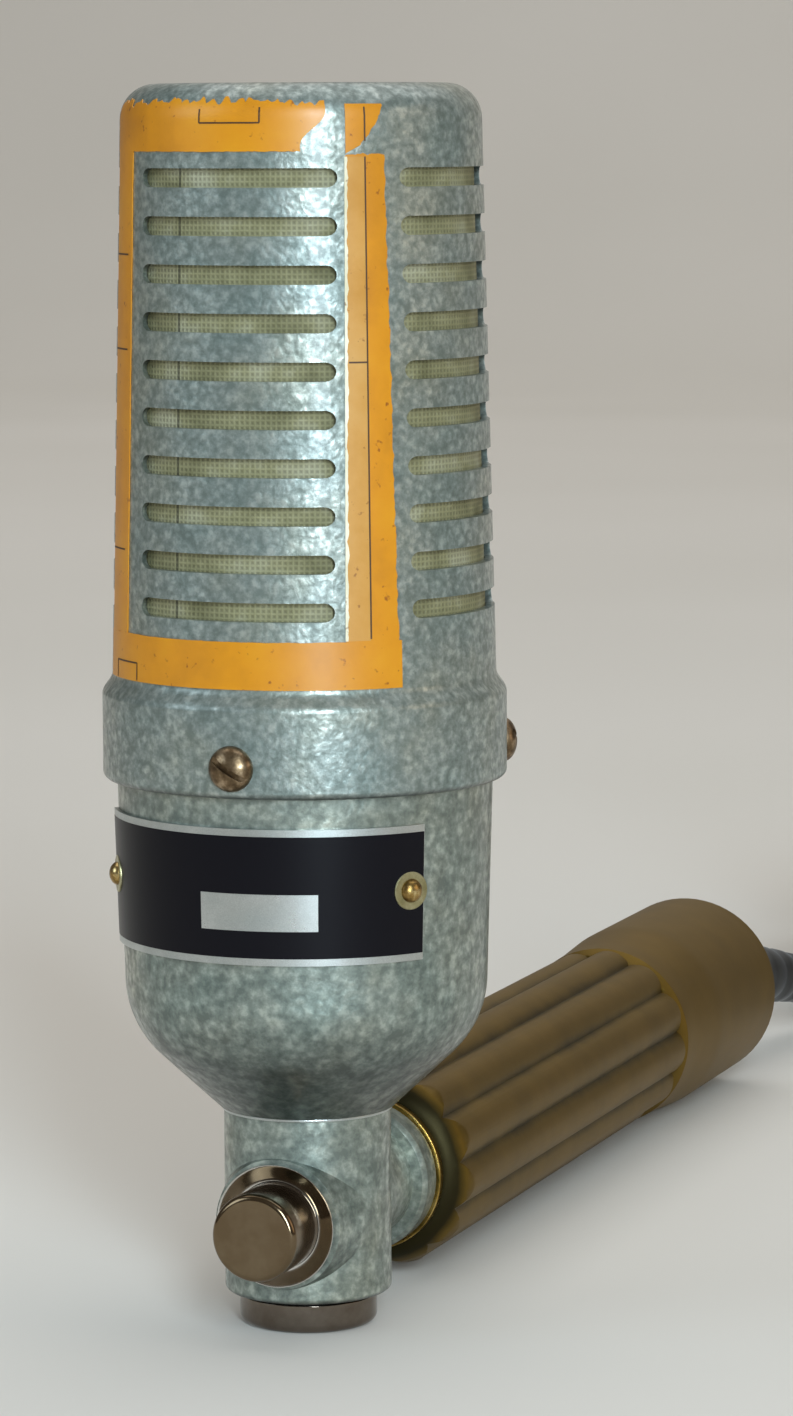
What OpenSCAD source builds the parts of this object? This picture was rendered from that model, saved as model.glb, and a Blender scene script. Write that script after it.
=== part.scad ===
// Hand-held microphone: an upright cylindrical head with a slotted cap, a push button
// in its neck and a long fluted brass handle that runs straight back from the neck.
// Millimetres. +Z runs up the head, -Y is the front, +Y runs back along the handle.
// The origin is the middle of the flat underside of the bottom cap.

/* [Grille cap] */
// Height of the slotted wall, from the top of the skirt to the flat top
grille_h = 78.7; // [60:0.1:96]
// Outer radius of the slotted wall just under the rounded top edge
grille_top_r = 24.2; // [23.6:0.05:24.8]
// Outer radius of the slotted wall where it meets the skirt
grille_foot_r = 25.95; // [25.4:0.05:26.4]
// Radius of the rounded top edge
top_round = 4.8; // [2:0.1:7]
// Thickness of the sheet that the cap is pressed from
cap_wall = 1.15; // [0.8:0.05:1.3]
// Outer radius of the skirt at the cap's foot
skirt_r = 27.35; // [27:0.05:28.2]
// Height of the skirt, with its flared shoulder
skirt_h = 14.3; // [12:0.1:17.5]
// Height of the flared shoulder alone
flare_h = 2.9; // [2:0.1:3.4]
// Straight width of one slot, from end to end
slot_w = 27.8; // [22:0.1:30]
// Height of one slot
slot_h = 2.5; // [1.6:0.05:3.2]
// Distance from one slot row to the next
slot_pitch = 6.25; // [5:0.05:8]
// Distance from the flat top down to the middle of the first slot row
slot_drop = 12.3; // [10:0.1:16]
// Least height kept plain under the last slot row
slot_margin = 9.5; // [7:0.1:14]
// Turn of the slots and the nameplate about the head, against the button
head_turn = -3; // [-10:0.5:10]
// Number of skirt screws
skirt_screws = 3; // [3:1:3]
// Height of the skirt screws above the skirt's lower edge
skirt_screw_z = 4.1; // [3.8:0.1:5]
// Radius of a skirt screw's round head
screw_head_r = 3.05; // [2.4:0.05:3.4]
// Radius of a skirt screw's shank
screw_r = 1.5; // [1:0.05:1.7]
// Thickness of the gauze lining behind the slots
gauze_t = 0.3; // [0.2:0.05:0.5]
// Width of the adhesive tape round the front slots
tape_w = 6.3; // [4:0.1:7]
// Thickness of the adhesive tape
tape_t = 0.2; // [0.1:0.05:0.3]

/* [Lower body] */
// Outer radius of the body at the skirt
body_top_r = 25.45; // [25:0.05:25.6]
// Outer radius of the body where the bowl starts
body_low_r = 24.65; // [23.5:0.05:25.2]
// Height of the straight wall between the bowl and the skirt
body_wall_h = 27.3; // [22:0.1:34]
// Wall thickness of the body
body_wall = 2.2; // [1.6:0.05:2.6]
// Radius of the curve between the wall and the bowl's cone
bowl_r = 14; // [11:0.1:16]
// Angle through which that curve turns
bowl_angle = 47; // [40:0.5:54]
// Thickness of the bowl's floor
bowl_floor = 3; // [2.2:0.1:4]
// Height of the nameplate
plate_h = 18.1; // [14:0.1:21]
// Distance from the skirt's lower edge down to the nameplate
plate_drop = 4; // [2:0.1:6]
// Angle that the nameplate covers
plate_angle = 122; // [90:1:130]
// Thickness of the nameplate
plate_t = 0.6; // [0.4:0.05:0.9]
// Angle between the nameplate's two rivets
rivet_angle = 112.5; // [80:0.5:116]

/* [Neck] */
// Height of the handle's axis above the table
axis_z = 15.6; // [15.6:0.05:15.8]
// Outer radius of the neck
neck_r = 11.4; // [11:0.05:12.2]
// Height of the neck without its caps
neck_h = 25.2; // [24.6:0.1:29]
// Radius of the hollow inside the neck
neck_bore_r = 8.6; // [8.4:0.05:9]
// Thickness of the wall that closes the neck's top
neck_roof = 2.5; // [2:0.1:3]
// Radius of the threaded spigot on the neck
spigot_r = 7.4; // [7.2:0.05:8]
// Thickness of the bright ring between the neck and the bowl
neck_ring_t = 0.4; // [0.3:0.05:1]
// Radius of the bottom cap
cap_r = 9.4; // [9:0.05:10.4]
// Height of the bottom cap below its gasket
cap_h = 4; // [3:0.1:4.2]
// Thickness of the bottom cap's gasket
gasket_t = 0.5; // [0.3:0.05:0.8]
// Radius of the stem between the neck and the flange
stem_r = 8.5; // [8.2:0.05:9.5]
// Radius of the flange that the handle is screwed against
flange_r = 10.5; // [10:0.05:11.5]
// Thickness of that flange
flange_t = 4.5; // [3:0.1:5.5]
// Distance from the head's axis to the flange's front face
flange_y = 19; // [17:0.1:22]

/* [Push button] */
// Radius of the push button
button_r = 6; // [5:0.05:6.2]
// Distance that the button stands out of its bezel
button_out = 8.1; // [6:0.1:10]
// Travel of the button
button_travel = 2; // [1.5:0.1:2.2]
// Radius of the bezel's visible ring
bezel_r = 8.4; // [7.8:0.05:8.6]
// Thickness of that ring
bezel_t = 1.1; // [0.8:0.05:1.6]
// Distance from the head's axis to the bezel's front
bezel_y = 12.8; // [12.6:0.05:13.4]
// Radius of the button's stem
stem_pin_r = 1.8; // [1.4:0.05:2]
// Mean radius of the button's return spring
spring_r = 3.2; // [2.7:0.05:3.6]
// Radius of the spring's wire
spring_wire_r = 0.35; // [0.25:0.05:0.45]
// Number of turns of the spring
spring_turns = 6; // [4:1:7]

/* [Handle] */
// Distance from the head's axis to the handle's rear end
handle_end = 185; // [165:0.5:215]
// Radius over the crests of the lobes
lobe_crest_r = 14.4; // [13.6:0.05:14.8]
// Radius of one lobe's round back
lobe_r = 4.1; // [4:0.05:4.5]
// Number of lobes round the handle
lobes = 12; // [12:1:12]
// Turn of the lobes about the handle's axis
lobe_turn = 8; // [-15:1:15]
// Radius of the plain barrel at the rear
barrel_r = 15.4; // [15:0.05:15.6]
// Length of the plain barrel
barrel_l = 32; // [24:0.5:40]
// Length of the slope between the lobes and the barrel
barrel_slope = 20; // [14:0.5:26]
// Radius of the bore through the handle
handle_bore_r = 10.4; // [9.5:0.05:10.6]
// Length of the solid front of the handle, which the stud screws into
handle_nose = 12; // [9:0.5:16]
// Radius of the brass collar ring between the flange and the handle
collar_ring_r = 11; // [10.6:0.05:12]
// Thickness of that collar ring
collar_ring_t = 1.4; // [0.8:0.05:2]
// Radius of the hollow stud that joins the neck to the handle
stud_r = 5.5; // [5:0.05:5.8]
// Radius of the stud's bore
stud_bore_r = 3.2; // [3:0.05:3.6]

/* [Cord] */
// Radius of the cord
cord_r = 3; // [2.7:0.05:3]
// Radius of the cable inside the handle, without its outer sheath
core_r = 2.4; // [2:0.05:2.5]
// Smallest radius of the hank's folds, at the middle of the cord
fold_r = 13; // [13:0.1:13]
// Spacing of the hank's loops and of its layers
loop_pitch = 6.5; // [6.5:0.05:6.5]
// Number of loops in one layer of the hank
loops_per_layer = 1.5; // [1.5:1:1.5]
// Number of layers of the hank
hank_layers = 4; // [4:2:4]
// Length of the hank's straight runs
hank_run = 86; // [86:1:86]

/* [Fits] */
// Gap round a fixed piece that sits in another
fit = 0.08; // [0.05:0.01:0.12]
// Gap round a piece that slides in another
slide = 0.05; // [0.03:0.01:0.08]

/* [Hidden] */
$fn = 96;
// Gap under what is stuck or riveted on a curved wall
seat_gap = 0.05;
// Rings of one swept loop, and sides of a swept tube
loop_rings = 24;
tube_sides = 6;
run_sides = 10;

// Heights up the head
z_neck = cap_h + gasket_t;
z_roof = z_neck + neck_h;
z_bowl = z_roof + neck_ring_t;
bowl_foot_r = neck_r + 0.5;
bowl_axis_r = body_low_r - bowl_r;
bowl_bend_r = bowl_axis_r + bowl_r * cos(bowl_angle);
z_wall = z_bowl + (bowl_bend_r - bowl_foot_r) / tan(bowl_angle) + bowl_r * sin(bowl_angle);
z_skirt = z_wall + body_wall_h;
z_grille = z_skirt + skirt_h;
z_top = z_grille + grille_h;

// Seat of the cap on the body, and the ledge that carries the deck
skirt_bore_r = skirt_r - cap_wall;
rim_r = skirt_bore_r - fit;
z_rim = z_grille - flare_h - 0.4 * cap_wall - 0.1;
rim_wall = 2.9;
deck_r = rim_r - rim_wall - fit;
ledge_r = rim_r - 5.5;
ledge_h = 6.5;
z_deck = z_rim - 3.9;
deck_t = 2;
z_capsule = z_deck + deck_t;
z_screw = z_skirt + skirt_screw_z;

// Slots of the cap
slot_rows = 1 + floor((grille_h - slot_drop - slot_margin) / slot_pitch);
function grille_r(z) =
    grille_foot_r + (grille_top_r - grille_foot_r) * (z - z_grille) / (grille_h - top_round);
function body_r(z) = body_low_r + (body_top_r - body_low_r) * (z - z_wall) / body_wall_h;

// Capsule, from the deck upwards
cushion_h = 3;
pot_r = 18;
pot_h = 20;
pot_wall = 2.6;
pot_floor = 3.5;
magnet_r = 9;
pole_r = 8.2;
top_plate_t = 3;
z_pot = z_capsule + cushion_h;
z_gap = z_pot + pot_h;
z_coil_top = z_gap + top_plate_t;
gap_hole_r = pole_r + 1;
coil_inner_r = pole_r + 0.3;
coil_wall = 0.4;
seat_ring_h = 1.5;
grid_h = 6;
z_grid = z_coil_top + seat_ring_h;
z_clamp = z_grid + grid_h + 1.2;
clamp_t = 2;
rod_r = 1.5;
rod_ring_r = 20.3;

// Transformer under the deck
core_w = 24;
core_d = 14;
core_h = 22;
winding_w = 15.6;
winding_d = 25;
winding_h = 15;
clamp_w = 1;
z_core = z_deck - 2 - core_h;
strip_t = 1.5;

// Neck, button and switch
neck_floor_z = z_roof - neck_roof;
boss_r = bezel_r + 0.5;
boss_foot_r = min(neck_r - 0.4, axis_z - z_neck);
bush_r = 7.2;
bush_end_y = -3.2;
bush_wall = 1;
button_y = -bezel_y - button_out;
button_back_y = -bezel_y + 3.6;
button_hollow_r = spring_r + spring_wire_r + 0.6;
button_skin = 3.4;
pin_tip_y = -1.25;
pin_tip_r = 0.5;
clip_t = 0.6;
stud_seat_y = 9.5;
nut_t = 3;
leaf_t = 0.3;
leaf_top = neck_floor_z - 2.1;
leaf_reach = leaf_top - axis_z;
leaf_y = -1.1;
dot_z = 11;
dot_t = 0.4;
dot_gap = (button_travel / leaf_reach) * (leaf_top - dot_z) + 0.2;
fixed_y = leaf_y + leaf_t + dot_t + dot_gap;

// Handle
flange_end = flange_y + flange_t;
nose_y = flange_end + collar_ring_t;
shoulder_l = 8;
shoulder_r = 10.6;
barrel_y = handle_end - barrel_l;
lobe_end_y = barrel_y - barrel_slope;
plug_flange_r = 13;
plug_flange_t = 3;
plug_l = 13;
clamp_l = 6;
clamp_r = 8.2;
sheath_y = handle_end - plug_l - clamp_l - 8;
core_end_y = 11.5;

// Route of the cord: the strain relief, the free run, and the tail to the connector
relief_route = [[0, handle_end, axis_z], [0.5, handle_end + 8, axis_z], [2.2, handle_end + 17, 15],
    [4.6, handle_end + 26, 13.7], [6.8, handle_end + 35, 11.9], [8.6, handle_end + 43, 10]];
relief_radii = [6.6, 6.2, 5.7, 5.1, 4.5, 4];
run_route = [[8.6, 228, 10], [12, 235, 7.3], [17.2, 239.8, 5.2], [24.5, 241, 4.3],
    [31.8, 242.8, 4.2], [38.6, 247.3, 4.2], [43.2, 254, 4.2], [45.1, 262, 4.2], [45.1, 270, 4.2],
    [45, 279, 4.2], [44.6, 292, 4.2], [44.25, 309, 4.2]];
tail_route = [[43.44, 352, 30.2], [42.2, 360.3, 30.5], [37.4, 367.7, 31.1], [29.8, 372.2, 31.9],
    [21.2, 372.8, 32.8], [13.4, 369.4, 33.6], [8, 362.8, 34.4], [5.7, 354.5, 34.8],
    [5.25, 345.5, 34.9], [5.25, 337, 34.9]];
hank_x = 21.5;
hank_y = 309;
hank_z = 4.2;
plug_x = 5.25;
plug_y = 337;
plug_z = 34.9;
plug_shell_r = 8.6;
plug_shell_l = 44;
insert_l = 6;
pin_l = 8;
tie_t = 0.9;
tie_w = 9.5;
tie_back = 34;

// Small vector helpers and a tube swept along a list of points
function unit(v) = v / norm(v);
function heading(path, i) =
    unit(path[min(i + 1, len(path) - 1)] - path[max(i - 1, 0)]);
function across(dir, up) = unit(cross(dir, up));
function ring_at(path, radii, i, sides, up, start_dir, end_dir) =
    let(dir = i == 0 ? start_dir : i == len(path) - 1 ? end_dir : heading(path, i))
    let(side = across(dir, up))
    let(rise = cross(side, dir))
    [for (k = [0 : sides - 1])
        path[i] + radii[i] * (cos(360 * k / sides) * side + sin(360 * k / sides) * rise)];

module swept_tube(path, radii, sides, up, start_dir, end_dir) {
    count = len(path);
    points = [for (i = [0 : count - 1])
        each ring_at(path, radii, i, sides, up, start_dir, end_dir)];
    walls = [for (i = [0 : count - 2], k = [0 : sides - 1])
        let(a = i * sides + k, b = i * sides + (k + 1) % sides)
        each [[a, a + sides, b + sides], [a, b + sides, b]]];
    first = [for (k = [0 : sides - 1]) k];
    last = [for (k = [sides - 1 : -1 : 0]) (count - 1) * sides + k];
    polyhedron(points = points, faces = concat([first], walls, [last]), convexity = 6);
}

// A thin insulated wire through the given points, which never runs along X
module wire(path, r) {
    last = len(path) - 1;
    swept_tube(path, [for (p = path) r], 8, [1, 0, 0],
        unit(path[1] - path[0]), unit(path[last] - path[last - 1]));
}

// A solid turned about the handle's axis, with its outline drawn as [radius, y]
module turned_y(outline) {
    translate([0, 0, axis_z])
        rotate([-90, 0, 0])
            rotate_extrude() polygon(outline);
}

module bar_y(y0, y1, r, sides = 96) {
    translate([0, y0, axis_z])
        rotate([-90, 0, 0])
            cylinder(h = y1 - y0, r = r, $fn = sides);
}

module bar_z(z0, z1, r, sides = 96) {
    translate([0, 0, z0]) cylinder(h = z1 - z0, r = r, $fn = sides);
}

module ring_z(z0, z1, r_in, r_out) {
    difference() {
        bar_z(z0, z1, r_out);
        bar_z(z0 - 1, z1 + 1, r_in);
    }
}

module ring_y(y0, y1, r_in, r_out) {
    difference() {
        bar_y(y0, y1, r_out);
        bar_y(y0 - 1, y1 + 1, r_in);
    }
}

// A round-head screw whose seat is at the origin and whose shank points along -Z
module round_screw(head_r, head_h, shank_r, shank_l, slot_wide) {
    difference() {
        rotate_extrude()
            polygon(concat([[0, -shank_l], [shank_r, -shank_l], [shank_r, 0], [head_r, 0]],
                [for (a = [10 : 10 : 80]) [head_r * cos(a), head_h * sin(a)]], [[0, head_h]]));
        translate([-head_r - 1, -slot_wide / 2, head_h * 0.5])
            cube([2 * head_r + 2, slot_wide, head_h]);
    }
}

// The wedge from angle a0 to a1, where 0 is the front and + turns towards +X
module wedge(a0, a1, z0, z1, reach) {
    steps = max(1, ceil((a1 - a0) / 45));
    translate([0, 0, z0])
        linear_extrude(height = z1 - z0)
            polygon(concat([[0, 0]], [for (i = [0 : steps])
                let(a = a0 + (a1 - a0) * i / steps) [reach * sin(a), -reach * cos(a)]]));
}

// A strip that lies on the cap's wall
module wall_strip(a0, a1, z0, z1) {
    intersection() {
        rotate_extrude()
            polygon([[grille_r(z0) + seat_gap, z0], [grille_r(z0) + tape_t, z0],
                [grille_r(z1) + tape_t, z1], [grille_r(z1) + seat_gap, z1]]);
        wedge(a0, a1, z0 - 1, z1 + 1, 2 * skirt_r);
    }
}

// Outline of the cap, shrunk inwards by the given thickness
function cap_outline(inset) = concat(
    [[0, z_top - inset]],
    [for (a = [90 : -10 : 0])
        [grille_top_r - top_round + (top_round - inset) * cos(a),
         z_top - top_round + (top_round - inset) * sin(a)]],
    [[grille_foot_r - inset, z_grille - 0.4 * inset]],
    [for (k = [1 : 5])
        [grille_foot_r + (skirt_r - grille_foot_r) * (1 - cos(36 * k)) / 2 - inset,
         z_grille - flare_h * k / 5 - 0.4 * inset]]);

module slot_cutter() {
    reach = 2 * skirt_r;
    for (side = [-1, 1])
        translate([side * (slot_w - slot_h) / 2, -reach / 2, 0])
            rotate([-90, 0, 0])
                cylinder(h = reach, r = slot_h / 2, $fn = 32);
    translate([-(slot_w - slot_h) / 2, -reach / 2, -slot_h / 2])
        cube([slot_w - slot_h, reach, slot_h]);
}

module skirt_screw_holes(r, depth) {
    for (i = [0 : skirt_screws - 1])
        rotate([0, 0, i * 360 / skirt_screws])
            translate([0, -skirt_r - 1, z_screw])
                rotate([-90, 0, 0])
                    cylinder(h = depth + 1, r = r, $fn = 32);
}

module grille_cap() {
    lip = 1;
    color("darkseagreen")
        difference() {
            rotate_extrude()
                polygon(concat(cap_outline(0),
                    [for (a = [0 : 15 : 90])
                        [skirt_r - lip + lip * cos(a), z_skirt + lip - lip * sin(a)]],
                    [[0, z_skirt]]));
            rotate_extrude()
                polygon(concat(cap_outline(cap_wall), [[skirt_bore_r, z_skirt - 1], [0, z_skirt - 1]]));
            for (row = [0 : slot_rows - 1], turn = [0, 90])
                translate([0, 0, z_top - slot_drop - row * slot_pitch])
                    rotate([0, 0, head_turn + turn])
                        slot_cutter();
            skirt_screw_holes(screw_r + 0.15, 6);
        }
}

module grille_gauze() {
    lap = 0.15;
    z0 = z_grille + 1.5;
    z1 = z_top - top_round;
    r0 = grille_r(z0) - cap_wall - lap;
    r1 = grille_r(z1) - cap_wall - lap;
    color("tan")
        rotate_extrude()
            polygon([[r0 - gauze_t, z0], [r0, z0], [r1, z1], [r1 - gauze_t, z1]]);
}

module gauze_ring() {
    z0 = z_grille + 1.5;
    outer = grille_r(z0 + 1.6) - cap_wall - 0.15 - gauze_t - fit;
    color("silver")
        difference() {
            ring_z(z0, z0 + 1.6, outer - 1, outer);
            translate([-1.5, 0, z0 - 1]) cube([3, 2 * outer, 4]);
        }
}

module skirt_screw_set() {
    color("peru")
        for (i = [0 : skirt_screws - 1])
            rotate([0, 0, i * 360 / skirt_screws])
                translate([0, -skirt_r, z_screw])
                    rotate([90, 0, 0])
                        rotate([0, 0, 24])
                            round_screw(screw_head_r, 1.9, screw_r, 5, 0.8);
}

module tape_strips() {
    low = z_grille + 0.1;
    high = z_top - slot_drop + slot_h / 2 + 2.2;
    color("goldenrod") {
        wall_strip(head_turn - 56, head_turn + 31, high, high + tape_w);
        wall_strip(head_turn - 56, head_turn + 53, low, low + tape_w);
        wall_strip(head_turn + 36.5, head_turn + 50.5, low + tape_w, high + tape_w - 1.6);
        wall_strip(head_turn - 55.5, head_turn - 41, low + tape_w, high);
    }
}

// Outline of the body's outside from the foot up to the skirt, shrunk inwards
function bowl_outline(inset) =
    let(bend = bowl_r - inset)
    concat([for (a = [bowl_angle : -bowl_angle / 12 : 0])
        [bowl_axis_r + bend * cos(a), z_wall - bend * sin(a)]],
        [[body_top_r - inset, z_skirt]]);

module lower_body() {
    inner_bend_r = bowl_axis_r + (bowl_r - body_wall) * cos(bowl_angle);
    inner_bend_z = z_wall - (bowl_r - body_wall) * sin(bowl_angle);
    floor_z = z_bowl + bowl_floor;
    floor_r = inner_bend_r - (inner_bend_z - floor_z) * tan(bowl_angle);
    ledge_z = z_deck - ledge_h;
    color("darkseagreen")
        difference() {
            rotate_extrude()
                polygon(concat([[0, z_bowl], [bowl_foot_r, z_bowl]], bowl_outline(0),
                    [[body_top_r, z_skirt + 0.5], [rim_r, z_skirt + 0.5], [rim_r, z_rim], [0, z_rim]]));
            rotate_extrude()
                polygon(concat([[0, floor_z], [floor_r, floor_z]], bowl_outline(body_wall),
                    [[body_top_r - body_wall, ledge_z], [ledge_r, ledge_z + 1], [ledge_r, z_deck],
                    [rim_r - rim_wall, z_deck], [rim_r - rim_wall, z_rim + 1], [0, z_rim + 1]]));
            bar_z(z_bowl - 1, floor_z + 1, spigot_r + fit);
            skirt_screw_holes(screw_r + seat_gap, skirt_r - ledge_r - 0.3);
            deck_screw_places() translate([0, 0, z_deck - 4]) cylinder(h = 6, r = 1.06, $fn = 24);
        }
}

module nameplate() {
    z1 = z_skirt - plate_drop;
    z0 = z1 - plate_h;
    color("black")
        intersection() {
            rotate_extrude()
                polygon([[body_r(z0) + seat_gap, z0], [body_r(z0) + plate_t, z0],
                    [body_r(z1) + plate_t, z1], [body_r(z1) + seat_gap, z1]]);
            wedge(head_turn - plate_angle / 2, head_turn + plate_angle / 2, z0 - 1, z1 + 1, 60);
        }
}

module nameplate_rivets() {
    z = z_skirt - plate_drop - plate_h / 2 + 0.4;
    color("gold")
        for (side = [-1, 1])
            rotate([0, 0, head_turn + side * rivet_angle / 2])
                translate([0, -body_r(z) - plate_t - 0.12, z])
                    rotate([90, 0, 0]) {
                        cylinder(h = 0.3, r = 2.3, $fn = 48);
                        intersection() {
                            translate([0, 0, -0.3]) sphere(r = 1.75, $fn = 48);
                            translate([0, 0, 0.15]) cylinder(h = 2, r = 1.5, $fn = 48);
                        }
                    }
}

module deck_screw_places() {
    for (i = [0 : 2])
        rotate([0, 0, 30 + 120 * i])
            translate([0, -(rim_r - rim_wall + ledge_r) / 2 + 0.2, 0])
                children();
}

module lead_places() {
    for (side = [-1, 1])
        translate([side * 3, -pot_r - 1.5, 0])
            children();
}

module deck_plate() {
    color("lightgray")
        difference() {
            bar_z(z_deck, z_capsule, deck_r);
            deck_screw_places() translate([0, 0, z_deck - 1]) cylinder(h = 4, r = 1.1, $fn = 24);
            lead_places() translate([0, 0, z_deck - 1]) cylinder(h = 4, r = 0.9, $fn = 24);
            rod_places() translate([0, 0, z_deck - 1]) cylinder(h = 4, r = rod_r - 0.4, $fn = 24);
            for (side = [-1, 1])
                translate([side * transformer_foot_x(), 0, z_deck - 1])
                    cylinder(h = 4, r = 1.02, $fn = 24);
        }
}

module deck_screws() {
    color("silver")
        deck_screw_places()
            translate([0, 0, z_capsule])
                round_screw(1.45, 1, 0.98, 4.6, 0.45);
}

module rod_places() {
    for (i = [0 : 2])
        rotate([0, 0, 120 * i + 90])
            translate([0, -rod_ring_r, 0])
                children();
}

module lower_cushion() {
    color("dimgray") ring_z(z_capsule, z_pot, pot_r - 6, pot_r);
}

module magnet_pot() {
    color("slategray")
        difference() {
            bar_z(z_pot, z_gap, pot_r);
            bar_z(z_pot + pot_floor, z_gap + 1, pot_r - pot_wall);
        }
}

module magnet() {
    color("gray") bar_z(z_pot + pot_floor, z_gap - 5, magnet_r);
}

module pole_tip() {
    color("lightslategray") bar_z(z_gap - 5, z_coil_top, pole_r);
}

module top_plate() {
    color("slategray") ring_z(z_gap, z_coil_top, gap_hole_r, pot_r);
}

module voice_coil() {
    color("darkorange")
        ring_z(z_gap + 0.5, z_coil_top + 0.9, coil_inner_r, coil_inner_r + coil_wall);
}

// The dome and the flat surround are one thin pressed sheet
module diaphragm() {
    sheet = 0.2;
    base = z_coil_top + 0.9;
    dome = 1.9;
    function dome_z(r) = base + dome * (1 - pow(r / (coil_inner_r + coil_wall), 2));
    steps = 6;
    color("khaki")
        rotate_extrude()
            polygon(concat(
                [for (k = [0 : steps]) let(r = (coil_inner_r + coil_wall) * k / steps) [r, dome_z(r)]],
                [[pot_r - 2, base]], [[pot_r - 2, base + sheet]],
                [for (k = [steps : -1 : 0])
                    let(r = (coil_inner_r + coil_wall) * k / steps) [r, dome_z(r) + sheet]]));
}

module diaphragm_ring() {
    color("silver")
        difference() {
            ring_z(z_coil_top, z_grid, pot_r - 3.5, pot_r);
            ring_z(z_coil_top + 0.85, z_coil_top + 1.15, pot_r - 4, pot_r - 2 + fit);
        }
}

module front_grid() {
    roof = 1;
    color("lightgray")
        difference() {
            bar_z(z_grid, z_grid + grid_h, pot_r);
            bar_z(z_grid - 1, z_grid + grid_h - roof, pot_r - 1.6);
            for (ring = [1 : 3], i = [0 : 6 * ring - 1])
                rotate([0, 0, i * 60 / ring])
                    translate([ring * 4, 0, z_grid]) cylinder(h = grid_h + 1, r = 1.2, $fn = 24);
        }
}

module upper_cushion() {
    color("dimgray") ring_z(z_grid + grid_h, z_clamp, pot_r - 3, pot_r);
}

module clamp_ring() {
    color("lightgray")
        difference() {
            ring_z(z_clamp, z_clamp + clamp_t, pot_r - 3, rod_ring_r + 2);
            rod_places() translate([0, 0, z_clamp - 1])
                cylinder(h = clamp_t + 2, r = rod_r + fit, $fn = 24);
        }
}

module tie_rods() {
    top = z_clamp + clamp_t + 3;
    color("silver")
        rod_places() {
            translate([0, 0, z_capsule]) cylinder(h = top - z_capsule, r = rod_r, $fn = 32);
            translate([0, 0, z_deck]) cylinder(h = deck_t + 0.5, r = rod_r - 0.45, $fn = 32);
        }
}

module rod_nuts() {
    color("goldenrod")
        rod_places() translate([0, 0, z_clamp + clamp_t])
            difference() {
                cylinder(h = 2.2, r = 2.9, $fn = 6);
                translate([0, 0, -1]) cylinder(h = 5, r = rod_r + 0.03, $fn = 32);
            }
}

function transformer_foot_x() = core_w / 2 + clamp_w + 3;

module transformer_core() {
    leg = core_w / 6;
    window_h = winding_h + 1;
    z_window = z_core + (core_h - window_h) / 2;
    color("dimgray")
        difference() {
            translate([-core_w / 2, -core_d / 2, z_core]) cube([core_w, core_d, core_h]);
            for (side = [-1, 1])
                translate([side * 1.5 * leg - leg / 2, -core_d, z_window])
                    cube([leg, 2 * core_d, window_h]);
        }
}

module transformer_winding() {
    leg = core_w / 6;
    z0 = z_core + (core_h - winding_h) / 2;
    color("peru")
        difference() {
            translate([-winding_w / 2, -winding_d / 2, z0]) cube([winding_w, winding_d, winding_h]);
            translate([-leg - fit, -core_d / 2 - fit, z0 - 1])
                cube([2 * leg + 2 * fit, core_d + 2 * fit, winding_h + 2]);
        }
}

module transformer_clamp() {
    half = core_w / 2;
    depth = core_d - 4;
    top = z_deck;
    color("silver")
        difference() {
            union() {
                translate([-half - clamp_w, -depth / 2, z_core - clamp_w])
                    cube([core_w + 2 * clamp_w, depth, clamp_w]);
                for (side = [-1, 1])
                    translate([side * (half + clamp_w / 2) - clamp_w / 2, -depth / 2, z_core - clamp_w])
                        cube([clamp_w, depth, top - z_core + clamp_w]);
                for (side = [-1, 1])
                    translate([side * (transformer_foot_x() - 0.5) - 3, -depth / 2, top - clamp_w])
                        cube([6, depth, clamp_w]);
            }
            for (side = [-1, 1])
                translate([side * transformer_foot_x(), 0, top - 3]) cylinder(h = 4, r = 1.1, $fn = 24);
        }
}

module transformer_screws() {
    color("silver")
        for (side = [-1, 1])
            translate([side * transformer_foot_x(), 0, z_deck - clamp_w])
                mirror([0, 0, 1])
                    round_screw(1.8, 1.2, 1, clamp_w + deck_t, 0.5);
}

module terminal_strip() {
    color("saddlebrown")
        translate([-10, -winding_d / 2 - strip_t, z_core + 5])
            cube([20, strip_t, 11]);
}

module terminal_tags() {
    color("goldenrod")
        for (x = [-7.5, -3, 3, 7.5])
            translate([x - 0.8, -winding_d / 2 - strip_t - 0.4, z_core + 3.4])
                cube([1.6, 0.4, 14]);
}

module capsule_leads() {
    tag_y = -winding_d / 2 - strip_t - 0.85;
    color("firebrick")
        for (side = [-1, 1])
            wire([[side * 3, -pot_r, z_gap + 1.5], [side * 3, -pot_r - 1.5, z_gap - 1],
                [side * 3, -pot_r - 1.5, z_deck - 3], [side * 3, tag_y, z_core + 16]], 0.4);
}

module switch_leads() {
    tag_y = -winding_d / 2 - strip_t - 0.85;
    color("darkgreen")
        for (side = [-1, 1])
            wire([[side * 7.5, tag_y, z_core + 4.5], [side * 6, tag_y + 1, z_bowl + 9],
                [side * 0.55, 4.6, z_roof + 7], [side * 0.55, 4.6, neck_floor_z - 1],
                [side * 1.6, 5.2, leaf_top - 1.5]], 0.4);
}

module neck_ring() {
    color("gainsboro") ring_z(z_roof, z_bowl, spigot_r + fit, neck_r + 0.25);
}

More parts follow.
